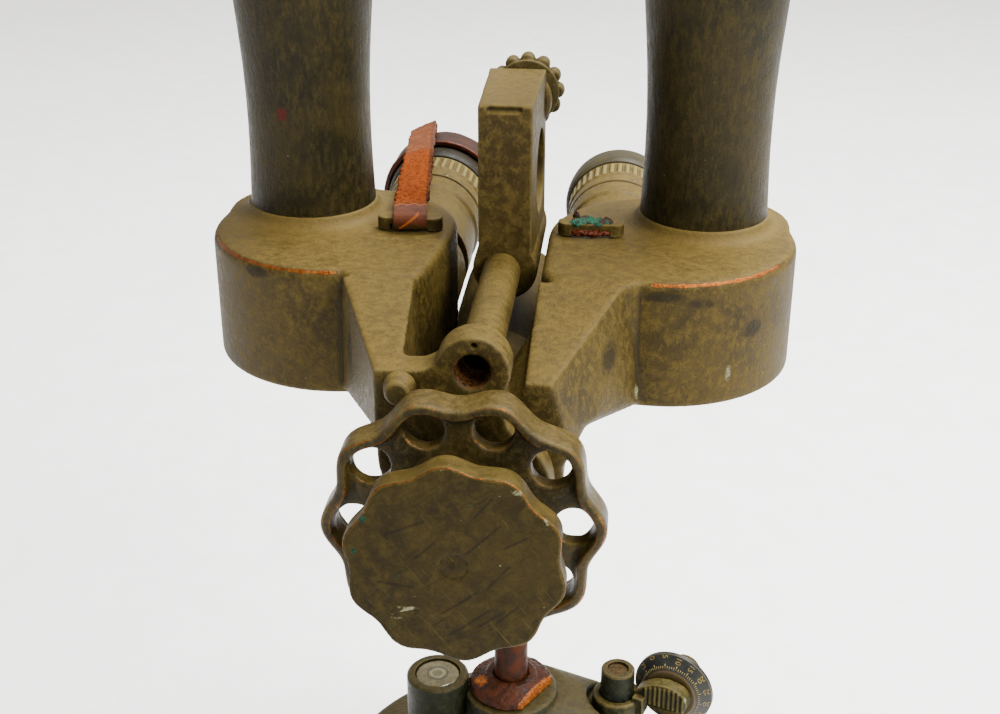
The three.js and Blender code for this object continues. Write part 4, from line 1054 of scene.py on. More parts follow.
def add_head(side, label):
    """Periscope head with its side port, and the cap on top of it."""
    shell = turned(rounded([(0, 232.3), (24.5, 232.3), (25.5, 234), (25.5, 284), (0, 284)], 0.6),
                   segments=128)
    port = rod(20, -36, 0, "Y", (0, 0, HEAD_PORT_Z), edge=0.8, segments=96)
    collar = turned(rounded([(0, -27.6), (21.6, -27.6), (21.6, 0), (0, 0)], 1.2), "Y", (0, 0, HEAD_PORT_Z))
    hollow = turned([(0, 230), (19.6, 230), (19.6, 236), (22.8, 236), (22.8, 290), (0, 290)])
    centre = Matrix.Translation((side * TUBE_X * MM, 0, 0)) @ HEAD
    piece = shaped(f"{label}_periscope_head", [shell, port, collar],
                   [hollow, rod(17, -40, 0, "Y", (0, 0, HEAD_PORT_Z))], centre, voxel=0.7, smooth=6)
    place(piece, f"{label}_arm", HOUSING_PAINT, "olive_paint", f"{label}_head")
    profile = rounded([
        (0, 284.3), (26.2, 284.3), (26.2, 289), (23, 293), (8, 295.5), (7, 298.4), (0, 298.6),
    ], 0.9)
    cap = build(f"{label}_periscope_cap", [
        turned(spaced(profile), segments=128, wave=knurl(26.2, 285.4, 288.4, 72, 0.35)),
    ], centre)
    place(cap, f"{label}_arm", HOUSING_PAINT, "olive_paint", f"{label}_head_cap")
    ring_profile = [(16.6, -36.3), (20.6, -36.3), (20.6, -41), (19.6, -42), (17.2, -42), (16.6, -41)]
    ring = shaped(f"{label}_window_bezel", [turned(ring_profile, "Y", (0, 0, HEAD_PORT_Z), 128, closed=True)],
                  [spanner_slot(angle) for angle in (0, 90, 180, 270)], centre, voxel=0.3, smooth=3)
    place(ring, f"{label}_arm", BRASS, "brass", f"{label}_window_ring")
    pane = spaced(rounded([(0, -40.2), (16.4, -40.2), (16.4, -36.8), (0, -36.8)], 0.5))
    glass = build(f"{label}_window_disc", [turned(pane, "Y", (0, 0, HEAD_PORT_Z))], centre)
    place(glass, f"{label}_arm", WINDOW_GLASS, "optical_glass", f"{label}_window_glass")


def knurl(radius, start, end, count, depth):
    """Wave that cuts straight grooves into the band of a turned piece."""
    def wave(reach, along, angle):
        if reach < radius - 0.4 or not start <= along <= end:
            return reach
        return reach - depth * (0.5 + 0.5 * math.cos(count * angle)) ** 3
    return wave


def spanner_slot(angle):
    """Notch across the front of a screwed ring, for a pin spanner."""
    turn = Matrix.Translation((0, 0, HEAD_PORT_Z)) @ Matrix.Rotation(math.radians(angle), 4, "Y")
    return moved(round_box(15, 22, -43, -40.8, -1.2, 1.2), matrix=turn)


def add_eyepiece(side, label):
    """Fixed eyepiece barrel, its ribbed dioptre ring and the eyecup."""
    at = (side * EYE_X, 0, EYE_Z)
    outer = rounded([
        (9.6, 30.3), (17.2, 30.3), (17.2, 43.2), (16.9, 43.6), (16.9, 49), (16.6, 49.4), (16.6, 56),
        (17.0, 56.6), (17.4, 57.4), (17.4, 66.5), (16.3, 66.7), (16.3, 67.6), (13.6, 67.6),
        (13.6, 92), (9.6, 92),
    ], 0.25, 2)
    barrel = build(f"{label}_eyepiece_sleeve", [turned(spaced(outer, 0.8), "Y", at, 112, closed=True)], HEAD)
    along = local_points(barrel, HEAD)[:, 1]
    store(barrel, "black", np.clip(1 - np.abs(along - 67.2) / 0.7, 0, 1))
    place(barrel, f"{label}_arm", HOUSING_PAINT, "olive_paint", f"{label}_eyepiece_barrel")
    ring = build(f"{label}_focus_ring", [focus_ring(at)], HEAD)
    x, y, z = local_points(ring, HEAD).T
    crest = np.clip((np.hypot(x - at[0], z - at[2]) - 17.5) / 0.3, 0, 1)
    store(ring, "crest", crest * (y > RIB_START + 0.4) * (y < RIB_END - 0.4) * 0.8)
    place(ring, f"{label}_focus", FOCUS_PAINT, "olive_paint", f"{label}_diopter_ring")
    marks = build(f"{label}_focus_marks", focus_marks(at), HEAD)
    place(marks, f"{label}_arm", DIAL_BLACK, "dial_black")
    index = build(f"{label}_focus_index", [band_arrow(at, 72)], HEAD)
    place(index, f"{label}_focus", DIAL_BLACK, "dial_black")
    cup = rounded([
        (15.9, 86.3), (18.2, 86.3), (19.0, 88.4), (19.2, 91.5), (19.1, 95), (18.7, 98.6), (17.6, 101.8),
        (16.0, 104.3), (14.4, 105.3), (13.0, 104.9), (12.4, 103.6), (12.4, 92.4), (15.9, 92.4),
    ], 0.5, 3)
    eyecup = build(f"{label}_eyecup_ring", [turned(spaced(cup), "Y", at, 112, closed=True)], HEAD)
    rubber = LEFT_RUBBER if side < 0 else RIGHT_RUBBER
    place(eyecup, f"{label}_focus", rubber, "eyecup_rubber", f"{label}_eyecup")


RIBS = 40
RIB_START, RIB_END = 75.4, 85.4


def focus_ring(at):
    """Plain band, then raised ribs, then a plain neck under the eyecup. Bored for its sleeve."""
    outer = [(14, 68.3), (17.2, 68.3), (17.5, 68.7), (17.5, 75.0)]
    rib_length = RIB_END - RIB_START
    rings = 12
    outer += [(17.9, RIB_START + rib_length * step / rings) for step in range(rings + 1)]
    outer += [(17.4, 86.0), (15.6, 86.1), (15.6, 91), (14, 91)]

    def wave(radius, along, angle):
        if not RIB_START - 0.01 <= along <= RIB_END + 0.01 or radius < 17:
            return radius
        ends = min(along - RIB_START, RIB_END - along)
        depth = 0.75 * min(1, ends / 0.7)
        crest = 0.5 + 0.5 * math.cos(RIBS * angle)
        return radius - depth * (1 - min(1, max(0, (crest - 0.4) / 0.3)))
    return turned(spaced(outer, 0.9), "Y", at, RIBS * 10, closed=True, wave=wave)


def focus_marks(at):
    """Fine dioptre strokes round the top of the fixed barrel, a long one at every fifth."""
    shells = []
    for step in range(-15, 16):
        start = 63.6 if step % 5 == 0 else 64.6
        shells.append(band_stroke(at, 90 + 3.4 * step, start, 66.2, 0.14))
    return shells


def band_point(at, angle, along, radius=17.46):
    turn = math.radians(angle)
    return (at[0] + radius * math.cos(turn), along, at[2] + radius * math.sin(turn))


def band_stroke(at, angle, start, end, half_width):
    """Thin stroke along the band, standing just proud of it."""
    spread = math.degrees(half_width / 17.5)
    low = [band_point(at, angle + s * spread, y, 17.2) for s in (-1, 1) for y in (start, end)]
    high = [band_point(at, angle + s * spread, y) for s in (-1, 1) for y in (start, end)]
    return convex(low + high)


def band_arrow(at, angle):
    """Index arrow on the ring's plain band, pointing at the strokes."""
    corners = [(-5, 69.0), (5, 69.0), (0, 71.6)]
    low = [band_point(at, angle + turn, y, 17.2) for turn, y in corners]
    high = [band_point(at, angle + turn, y, 17.58) for turn, y in corners]
    return convex(low + high)


COVER_SCREWS = ((22, -38), (22, 12), (66, -38), (66, 12))


def add_bottom_cover(side, label):
    """Cover plate under the prisms, with two plain screw heads and two open slotted screw holes."""
    levels = [(0.3, 5.2), (0.3, 3.2), (0.7, DRUM_BOTTOM + 0.2), (1.2, DRUM_BOTTOM)]
    plate = loft([[(x, y, z) for x, y in cover_outline(side, inset)] for inset, z in levels])
    holes = []
    screws = []
    slots = []
    for number, (x, y) in enumerate(COVER_SCREWS):
        at = (side * x, y, 0)
        holes.append(turned([(0, 2.0), (2.6, 2.0), (2.6, 3.1), (0, 3.1)], at=at, segments=32))
        screws.append(turned(rounded([(0, 2.7), (2.4, 2.7), (2.4, 3.4), (0, 3.4)], 0.2), at=at, segments=32))
        turn = Matrix.Rotation(math.radians(25 + 50 * number), 4, "Z")
        slots.append(moved(round_box(-3, 3, -0.35, 0.35, 2.0, 3.05), at, turn))
    under_heads = [*holes[0::2], *slots[0::2]]
    left_open = [*holes[1::2], *slots[1::2]]
    piece = shaped(f"{label}_cover_plate", [plate], under_heads, HEAD, voxel=0.45, smooth=2, extra=screws,
                   extra_cuts=left_open)
    place(piece, f"{label}_arm", TUBE_PAINT, "dark_olive_paint", f"{label}_bottom_cover")


LUG_LENGTH, LUG_WIDTH, LUG_HEIGHT = 19.1, 5.9, 3.8
LUG_SLOT_LENGTH, LUG_SLOT_HEIGHT = 11, 2.1
LEFT_LUG_AT, RIGHT_LUG_AT = (-26.75, -15.3), (25.95, -15.3)


def add_lug_bar(label, at):
    """Low bar with rounded ends on a housing's top, with a slot under its middle."""
    end = LUG_WIDTH / 2
    reach = LUG_LENGTH / 2 - end
    plan = []
    for side in (1, -1):
        for step in range(17):
            angle = math.radians(-90 + 180 * step / 16)
            plan.append((side * (reach + end * math.cos(angle)), side * end * math.sin(angle)))
    foot = DRUM_TOP + GAP
    bar = pulled(plan, foot, foot + LUG_HEIGHT)
    slot = round_box(-LUG_SLOT_LENGTH / 2, LUG_SLOT_LENGTH / 2, -9, 9, foot - 1, foot + LUG_SLOT_HEIGHT)
    place_at = HEAD @ Matrix.Translation((at[0], at[1], 0))
    piece = shaped(f"{label}_strap_lug", [bar], [slot], place_at, voxel=0.28, smooth=4)
    place(piece, f"{label}_arm", BRACKET_PAINT, "olive_paint", f"{label}_lug_bar")


# ---- hinge --------------------------------------------------------------------------------------

def add_hinge_body():
    """Fixed hinge barrel between the arms, with the socket that stands on the spindle."""
    barrel = turned(rounded([
        (0, BARREL_FRONT), (BARREL_WIDE, BARREL_FRONT), (BARREL_WIDE, BARREL_SHOULDER),
        (BARREL_WIDE - 2, BARREL_SHOULDER + 4), (BARREL_SLIM, BARREL_WAIST), (BARREL_SLIM, BARREL_BACK - 2),
        (BARREL_SLIM - 2, BARREL_BACK), (0, BARREL_BACK),
    ], 0.8), "Y")
    stem = turned(rounded([(0, -48), (10, -48), (11, -46), (11, 0), (0, 0)], 0.8), at=(0, SPINDLE_Y, 0))
    cuts = [rod(BOLT_BORE + 0.05, -80, -30, "Y"), rod(SPINDLE_R + GAP, -60, -28, at=(0, SPINDLE_Y, 0))]
    piece = shaped("hinge_barrel", [barrel, stem], cuts, HEAD, voxel=0.6, smooth=8)
    place(piece, "azimuth_head", HINGE_PAINT, "dark_olive_paint", "hinge_body")


SPINDLE_R = 6.1
WHEEL_FRONT, WHEEL_BACK, WHEEL_RADIUS, LOBES, WHEEL_TURN = -114.7, -104, 33.7, 10, 2
HOLE_REACH, HOLE_RADIUS = 27, 4.9


def lobe_levels(radius, swell, turn, levels):
    """Closed lobed shell about the hinge axis: levels are (inset, y)."""
    count = 300
    outlines = []
    for inset, y in levels:
        outlines.append([(x, y, z) for x, z in lobed(radius - inset, swell, LOBES, turn, count)])
    return loft(outlines)


def arc_levels(front, back, front_edge, back_edge):
    """Levels of a disc or drum with two rounded rims: (inset, place along its axis)."""
    steps = 6
    levels = []
    for step in range(steps + 1):
        angle = math.pi / 2 * step / steps
        levels.append((front_edge * (1 - math.sin(angle)), front + front_edge * (1 - math.cos(angle))))
    for step in range(steps + 1):
        angle = math.pi / 2 * step / steps
        levels.append((back_edge * (1 - math.cos(angle)), back - back_edge * (1 - math.sin(angle))))
    return levels


def add_clamp_wheel():
    """Scalloped hand wheel: deep rim, dished web with a hole under each lobe, and a hub."""
    rim = lobe_levels(WHEEL_RADIUS, 1.5, WHEEL_TURN, arc_levels(WHEEL_FRONT, WHEEL_BACK, 1.2, 2.2))
    pocket_front = lobe_levels(WHEEL_RADIUS - 2.7, 1.5, WHEEL_TURN,
                               [(-0.4, WHEEL_FRONT - 2), (0, WHEEL_FRONT + 0.6), (0.4, WHEEL_FRONT + 1.8),
                                (1.4, WHEEL_FRONT + 2.8)])
    pocket_back = lobe_levels(WHEEL_RADIUS - 2.8, 1.5, WHEEL_TURN,
                              [(1.2, WHEEL_BACK - 3.5), (0, WHEEL_BACK - 2.6), (0, WHEEL_BACK + 2)])
    hub = turned(rounded([
        (0, WHEEL_FRONT + 1), (13, WHEEL_FRONT + 1), (15.5, WHEEL_FRONT + 4), (15.5, WHEEL_BACK),
        (13, LEFT_LUG_FRONT - GAP), (0, LEFT_LUG_FRONT - GAP),
    ], 0.8), "Y")
    body = shaped("clamp_hand_wheel", [rim], [pocket_front, pocket_back], HEAD, voxel=0, smooth=0)
    holes = [rod(BOLT_BORE + 0.05, -130, -80, "Y")]
    for number in range(LOBES):
        angle = math.radians(WHEEL_TURN + 360 / LOBES * number)
        at = (HOLE_REACH * math.cos(angle), 0, HOLE_REACH * math.sin(angle))
        holes.append(rod(HOLE_RADIUS, -130, -80, "Y", at, segments=48))
    merge(body, [hub], "UNION", HEAD)
    merge(body, holes, "DIFFERENCE", HEAD)
    melt(body, 0.5, 8)
    place(body, "wheel", WHEEL_PAINT, "olive_paint", "clamp_wheel")


DISC_FRONT, DISC_BACK, DISC_RADIUS, DISC_TURN = -131, -123.5, 25.8, 23.46
SCREW_BORE = 3.9
# scratches on the face of the front knob, from (x, z) to (x, z)
DARK_SCRATCHES = [
    ((-1, -19), (9, -11)), ((1.5, -9.5), (5.5, -6.5)), ((6, -16), (12, -11.5)), ((8, -5), (13, 1)),
    ((-3, -13), (4, -8)), ((10, -15), (15, -10)), ((-16, 8), (-7, 12)), ((-18, -5), (-10, -6)),
    ((3, 4), (11, 12)), ((5, 14), (9, 19)), ((-9, 2), (-4, 7)), ((12, 6), (17, 9)),
]
PALE_SCRATCHES = [
    ((-17, -11), (-9, -8.5)), ((-15, -14), (-10, -12)), ((2, 15), (11, 20)), ((-6, 17), (2, 13)),
    ((-4, 8), (5, 5)),
]


def scratched(points, lines, width):
    """Mark of thin straight scratches on a face across the Y axis."""
    flat = points[:, [0, 2]]
    mark = np.zeros(len(points))
    for start, end in lines:
        start = np.array(start)
        run = np.array(end) - start
        along = np.clip((flat - start) @ run / (run @ run), 0, 1)
        away = np.linalg.norm(flat - start - along[:, None] * run, axis=1)
        mark = np.maximum(mark, np.clip(1.3 - away / width, 0, 1))
    return mark


def add_front_knob():
    """Scalloped solid disc with a worn, crisp front rim and the peened end of its screw."""
    disc = lobe_levels(DISC_RADIUS, 0.9, DISC_TURN, arc_levels(DISC_FRONT, DISC_BACK, 0.35, 2.0))
    dish = turned([
        (0, DISC_FRONT - 1), (SCREW_BORE, DISC_FRONT - 1), (SCREW_BORE, DISC_FRONT + 0.12),
        (3.5, DISC_FRONT + 0.3), (0, DISC_FRONT + 0.1),
    ], "Y")
    hub = turned(rounded([(0, DISC_BACK - 1), (11, DISC_BACK - 1), (11, WHEEL_FRONT + 0.7),
                          (0, WHEEL_FRONT + 0.7)], 0.6), "Y")
    cuts = [rod(SCREW_BORE, -124, -100, "Y"), dish]
    piece = shaped("front_hand_knob", [disc, hub], cuts, HEAD, voxel=0.45, smooth=3)
    points = local_points(piece, HEAD)
    x, y, z = points.T
    angle = np.arctan2(z, x)
    edge = DISC_RADIUS + 0.9 * np.cos(LOBES * (angle - math.radians(DISC_TURN)))
    from_rim = np.hypot(np.hypot(x, z) - edge, y - DISC_FRONT)
    store(piece, "rub", np.clip(1.15 - from_rim / 0.5, 0, 1) * np.clip(0.75 + z / 40, 0, 1))
    scuffs = [((-11, DISC_FRONT, -12), (8, 2, 1.2)), ((-14, DISC_FRONT, -15), (5, 2, 1)),
              ((15, DISC_FRONT, 21), (5, 2, 2)), ((21.5, DISC_FRONT, 14), (1.6, 2, 6))]
    on_face = y < DISC_FRONT + 1
    pale = scratched(points, PALE_SCRATCHES, 0.3) * on_face
    store(piece, "scuff", np.clip(sum_spots(points, scuffs) * 0.5 + pale * 0.45, 0, 1))
    store(piece, "black", scratched(points, DARK_SCRATCHES, 0.32) * on_face * 0.65)
    centre = spot(points, (0, DISC_FRONT, 0), (4.6, 2, 3.6))
    # darker near the rim, more towards the bottom and the left
    rim_darkening_lower_left = np.clip(1 - from_rim / 3.2, 0, 1) * np.clip(0.35 - z / 30 - x / 60, 0, 1)
    store(piece, "stain", np.clip(centre * 0.5 + rim_darkening_lower_left * 0.55, 0, 1))
    mould = [((-21, DISC_FRONT, 12), (3.4, 2, 3.4)), ((-23.5, DISC_FRONT, 3), (1.6, 2, 3)),
             ((-13, DISC_FRONT, -3), (1.2, 2, 1)), ((-15, DISC_FRONT, -17), (3, 2, 1.6)),
             ((4, DISC_FRONT, 17), (1.4, 2, 1))]
    store(piece, "mould", sum_spots(points, mould) * 0.62)
    place(piece, "knob", DISC_PAINT, "olive_paint", "front_knob")


def add_stop_pin():
    front, back = -103.4, LEFT_LUG_FRONT - GAP
    profile = spaced(rounded([(0, front), (2.6, front), (3.2, front + 0.6), (4.2, back), (0, back)], 0.4))
    pin = build("stop_pin_head", [turned(profile, "Y", (-17, 0, 30.2), 64)], HEAD)
    place(pin, "left_arm", ROD_PAINT, "olive_paint", "stop_pin")


# ---- bracket ------------------------------------------------------------------------------------

BRACKET_X, BRACKET_FRONT, BRACKET_BACK, BRACKET_TOP, BRACKET_BOSS = 2.4, -31, 10.8, 82, 9.2
BRACKET_HALF, BRACKET_BACK_HALF = 7.5, 8.4
HOLE_Y, HOLE_Z, HOLE_R = -4.5, 55.7, 12
KNOB_AXIS = (4.9, 0, 74.4)


def add_bracket_rod():
    outer = spaced(rounded([
        (0, LEFT_LUG_BACK + GAP), (6.4, LEFT_LUG_BACK + GAP), (6.4, -84.4), (5.9, -83.4), (ROD_RADIUS, -82.6),
        (ROD_RADIUS, BRACKET_FRONT - GAP), (4, BRACKET_FRONT - GAP),
        (4, BRACKET_BACK - 4), (0, BRACKET_BACK - 4),
    ], 0.4))
    piece = shaped("bracket_carrying_rod", [turned(outer, "Y", (ROD_X, 0, ROD_Z))],
                   [rod(ROD_BORE, -95, -74, "Y", (ROD_X, 0, ROD_Z))], HEAD, voxel=0.4, smooth=3)
    points = local_points(piece, HEAD)
    from_axis = np.hypot(points[:, 0] - ROD_X, points[:, 2] - ROD_Z)
    store(piece, "rust", np.clip((4.7 - from_axis) / 0.4, 0, 1) * (points[:, 1] < -73))
    place(piece, "left_arm", ROD_PAINT, "olive_paint", "bracket_rod")


def add_bracket():
    """Upright stirrup on the rod: widens to the back, with a round hole through its sides."""
    outline = rounded([(BRACKET_FRONT, ROD_Z), (BRACKET_BACK, ROD_Z), (BRACKET_BACK, BRACKET_TOP - 0.2),
                       (BRACKET_FRONT, BRACKET_TOP)], 1.3, closed=True)
    points, faces = pulled(outline, -1, 1, "X")
    spread = (BRACKET_BACK_HALF - BRACKET_HALF) / (BRACKET_BACK - BRACKET_FRONT)
    bar = [(BRACKET_X + x * (BRACKET_HALF + spread * (y - BRACKET_FRONT)), y, z) for x, y, z in points], faces
    boss = rod(BRACKET_BOSS, BRACKET_FRONT, BRACKET_BACK, "Y", (BRACKET_X, 0, ROD_Z), edge=0.9)
    seat_at = (KNOB_AXIS[0] - 1.2, 0, BRACKET_TOP - 9)
    knob_seat = rod(9.0, BRACKET_BACK - 6, BRACKET_BACK, "Y", seat_at, edge=2.0)
    hole = turned([(0, -20), (HOLE_R, -20), (HOLE_R, 20), (0, 20)])
    hole = moved(hole, (0, HOLE_Y, HOLE_Z), Matrix.Rotation(math.pi / 2, 4, "Y"))
    groove = round_box(BRACKET_X - 5, BRACKET_X + 4.6, BRACKET_FRONT - 1, BRACKET_FRONT + 1.1,
                       BRACKET_TOP - 2.2, BRACKET_TOP - 0.6)
    bore = rod(4.1, -60, 20, "Y", (ROD_X, 0, ROD_Z))
    piece = shaped("bracket_stirrup", [bar, boss, knob_seat], [hole, bore, groove], HEAD,
                   voxel=0.42, smooth=5)
    place(piece, "left_arm", BRACKET_PAINT, "olive_paint", "bracket")


def add_bracket_knob():
    """Thumb knob with a row of rounded beads round it, and a thin flange in front."""
    start = BRACKET_BACK + GAP
    shells = [rod(9.6, start, start + 1.3, "Y", edge=0.4), rod(8.6, start + 0.5, start + 6.4, "Y", edge=1.2)]
    beads = 12
    bead = rounded([(0, 1.0), (2.0, 1.2), (2.3, 3.6), (2.0, 6.4), (0, 7.0)], 1.6)
    for number in range(beads):
        angle = TAU * number / beads
        at = (8.9 * math.cos(angle), start, 8.9 * math.sin(angle))
        shells.append(turned(bead, "Y", at, 24))
    shells = [moved(shell, KNOB_AXIS) for shell in shells]
    piece = shaped("beaded_thumb_knob", shells, [], HEAD, voxel=0.3, smooth=3)
    place(piece, "bead_knob", KNOB_PAINT, "olive_paint", "bracket_knob")


# ---- leather ------------------------------------------------------------------------------------

STRAP_WIDTH, STRAP_THICK = 9.9, 1.5
STRAP_BEND = 124.2          # where the strap turns down behind the cap, from the lug
STRAP_TURN = math.radians(6.5)
STRAP_TWIST = math.radians(24)
LUG_MIDDLE = DRUM_TOP + GAP + (LUG_SLOT_HEIGHT + LUG_HEIGHT) / 2


def strap_route():
    """Middle line of the strap in (y, z) from the lug's bar: round the bar, back to the cap, and down."""
    loop = [(4.4, -1.9), (-3.0, -1.95), (-4.0, -1.2), (-4.05, 0.6), (-3.3, 1.9), (-1.2, 2.3), (2.5, 2.1)]
    back = [(12, 1.5), (40, -1.0), (80, -4.8), (112, -8.0), (120, -8.9), (STRAP_BEND, -9.7)]
    down = [(STRAP_BEND + 1.5, -11.6), (STRAP_BEND + 2.2, -15), (STRAP_BEND + 2.6, -20)]
    return smoothed(loop, 1) + back + down


def ribbon(route, width, thickness, twist):
    """Strip along a route, twisting on its way to the bend, with a slightly uneven edge."""
    across = 14
    path = spaced(route, 0.9)
    count = len(path)
    outlines = []
    for index, (y, z) in enumerate(path):
        before = Vector(path[max(index - 1, 0)])
        after = Vector(path[min(index + 1, count - 1)])
        along = (after - before).normalized()
        tilt = twist * min(1, max(0, y - 6) / (STRAP_BEND - 6))
        out = Vector((-math.sin(tilt), math.cos(tilt) * -along.y, math.cos(tilt) * along.x))
        side = Vector((math.cos(tilt), math.sin(tilt) * -along.y, math.sin(tilt) * along.x))
        wobble = 0.35 * math.sin(index * 0.31) + 0.25 * math.sin(index * 0.83 + 1.2)
        half = width / 2 + 0.6 * wobble * min(1, max(0, y - 3) / 6)
        body = thickness * (1 + 0.1 * math.sin(index * 0.47)) / 2
        outline = []
        for k in range(across + 1):
            x = -half + 2 * half * k / across
            crown = 0.18 * math.cos(math.pi * x / width)
            outline.append(tuple(Vector((0, y, z)) + side * x + out * (body + crown)))
        for k in range(across + 1):
            x = half - 2 * half * k / across
            outline.append(tuple(Vector((0, y, z)) + side * x - out * body))
        outlines.append(outline)
    return loft(outlines)


def add_strap():
    """Torn leather strap looped round the lug's bar and laid back over the eyepiece cap."""
    turn = Matrix.Translation((*LEFT_LUG_AT, LUG_MIDDLE)) @ Matrix.Rotation(STRAP_TURN, 4, "Z")
    shell = ribbon(strap_route(), STRAP_WIDTH, STRAP_THICK, STRAP_TWIST)
    piece = shaped("cracked_leather_strap", [moved(shell, matrix=turn)], [], HEAD, voxel=0.34, smooth=2)
    inverse = turn.inverted()
    local = np.array([tuple(inverse @ Vector(p)) for p in local_points(piece, HEAD)])
    x, y, z = local.T
    share = y / STRAP_BEND
    nap = np.clip((y - 5) / 8, 0.05, 1) * np.clip((80 - y) / 20, 0.35, 1)
    roughen(piece, 0.5, 1.7, nap)
    store(piece, "loop", np.clip((5.2 - y) / 1.4, 0, 1))
    store(piece, "smooth", np.clip((y - 66) / 24, 0, 1) * 0.95)
    tilt = STRAP_TWIST * np.clip(share, 0, 1)
    across = x * np.cos(tilt) + (z + 9.7 * share) * np.sin(tilt)
    store(piece, "side", np.clip((across - STRAP_WIDTH / 2 + 0.9) / 0.5, 0, 1) * (y > 5))
    store(piece, "olive", np.clip((-0.2 - z) / 0.8, 0, 1) * (y < 0))
    stroke = np.abs((z + 0.2) - (x + 1.2) * 0.75) * (np.abs(x + 0.4) < 3.0) + 9 * (np.abs(x + 0.4) >= 3.0)
    fringe = np.clip(1 - np.abs(y - 3.4 - 0.8 * np.sin(x * 1.7)) / 1.0, 0, 1) * (z > 1.2)
    store(piece, "scuff", np.clip(1.4 - stroke / 0.45, 0, 1) * (y < -2.5) + fringe)
    place(piece, "left_arm", STRAP, "strap_leather", "leather_strap")


def add_cap():
    """Moulded leather cap over the left eyecup, with a rolled rim."""
    profile = rounded([
        (0, 106.4), (18.9, 106.4), (19.6, 105.4), (19.8, 93), (21.4, 93), (21.6, 94.2), (21.2, 95.4),
        (21.1, 106.2), (20.7, 107.8), (19.4, 108.6), (0, 108.6),
    ], 0.5, 3)
    cap = build("moulded_leather_cap", [turned(spaced(profile), "Y", (-EYE_X, 0, EYE_Z), 128)], HEAD)
    roughen(cap, 0.16, 5)
    place(cap, "cap", CAP_LEATHER, "cap_leather", "leather_cap")


def add_remnant():
    """What is left of the right strap: a crusted pad on the bar, and a torn scrap in its slot."""
    x, y = RIGHT_LUG_AT
    z = DRUM_TOP + GAP
    pad = [(-4.0, -1.2, 3.7, 2.2, 2.4, 0.9), (-1.2, 0.2, 4.0, 3.0, 2.9, 0.8), (2.0, -0.4, 3.8, 2.8, 2.9, 0.8),
           (4.4, 0.3, 3.6, 2.0, 2.6, 0.8), (-4.6, 3.2, 4.4, 0.9, 0.8, 1.6)]
    crust = fused("crusted_strap_stub", [ellipsoid((x + a, y + b, z + c), (ra, rb, rc))
                                         for a, b, c, ra, rb, rc in pad], HEAD, voxel=0.3, smooth=2)
    roughen(crust, 0.5, 1.2)
    place(crust, "right_arm", CRUST, "strap_leather")
    scraps = [
        (-3.2, -2.9, 1.3, 2.4, 0.9, 1.0), (0.6, -3.1, 1.2, 3.2, 0.9, 0.9), (3.8, -2.8, 1.4, 1.8, 0.8, 0.9),
    ]
    scrap = fused("torn_strap_end", [ellipsoid((x + a, y + b, z + c), (ra, rb, rc))
                                     for a, b, c, ra, rb, rc in scraps], HEAD, voxel=0.26, smooth=1)
    roughen(scrap, 0.4, 1.1)
    place(scrap, "right_arm", REMNANT, "strap_leather")


def ellipsoid(centre, radii):
    steps = 10
    profile = [(math.sin(math.pi * s / steps), -math.cos(math.pi * s / steps)) for s in range(steps + 1)]
    profile[0] = (0, -1)
    profile[-1] = (0, 1)
    points, faces = turned(profile, segments=24)
    return [(centre[0] + p[0] * radii[0], centre[1] + p[1] * radii[1], centre[2] + p[2] * radii[2])
            for p in points], faces


# ---- mount --------------------------------------------------------------------------------------

LEVEL_X, LEVEL_Y, LEVEL_RADIUS, LEVEL_TOP = -25.2, -10.6, 11.5, 82
PIVOT_X, PIVOT_Y, PIVOT_RADIUS, PIVOT_TOP = 34.6, 20.1, 6.3, 83
DIAL_X, DIAL_Y, DIAL_Z, DIAL_RADIUS = 53.4, 29.4, 73.5, 15.2
PINION_Y = 39.6
BEARING, DIAL_END = 6.4, 44
COLLAR_FLAT = 11.6


def add_base():
    flange = build("base_flange_disc", [
        turned(spaced(rounded([(0, 0), (60, 0), (62, 2), (62, 7), (60, 9), (0, 9)], 0.7)), segments=192),
    ], MOUNT)
    place(flange, "mount_base", MOUNT_PAINT, "mount_paint", "base_flange")
    ring = spaced(rounded([(0, 9.3), (50, 9.3), (50, 14), (46, 16), (46, 19.7), (0, 19.7)], 0.6))
    pillar = build("pedestal_ring", [turned(ring, segments=160)], MOUNT)
    place(pillar, "mount_base", MOUNT_PAINT, "mount_paint", "pedestal")


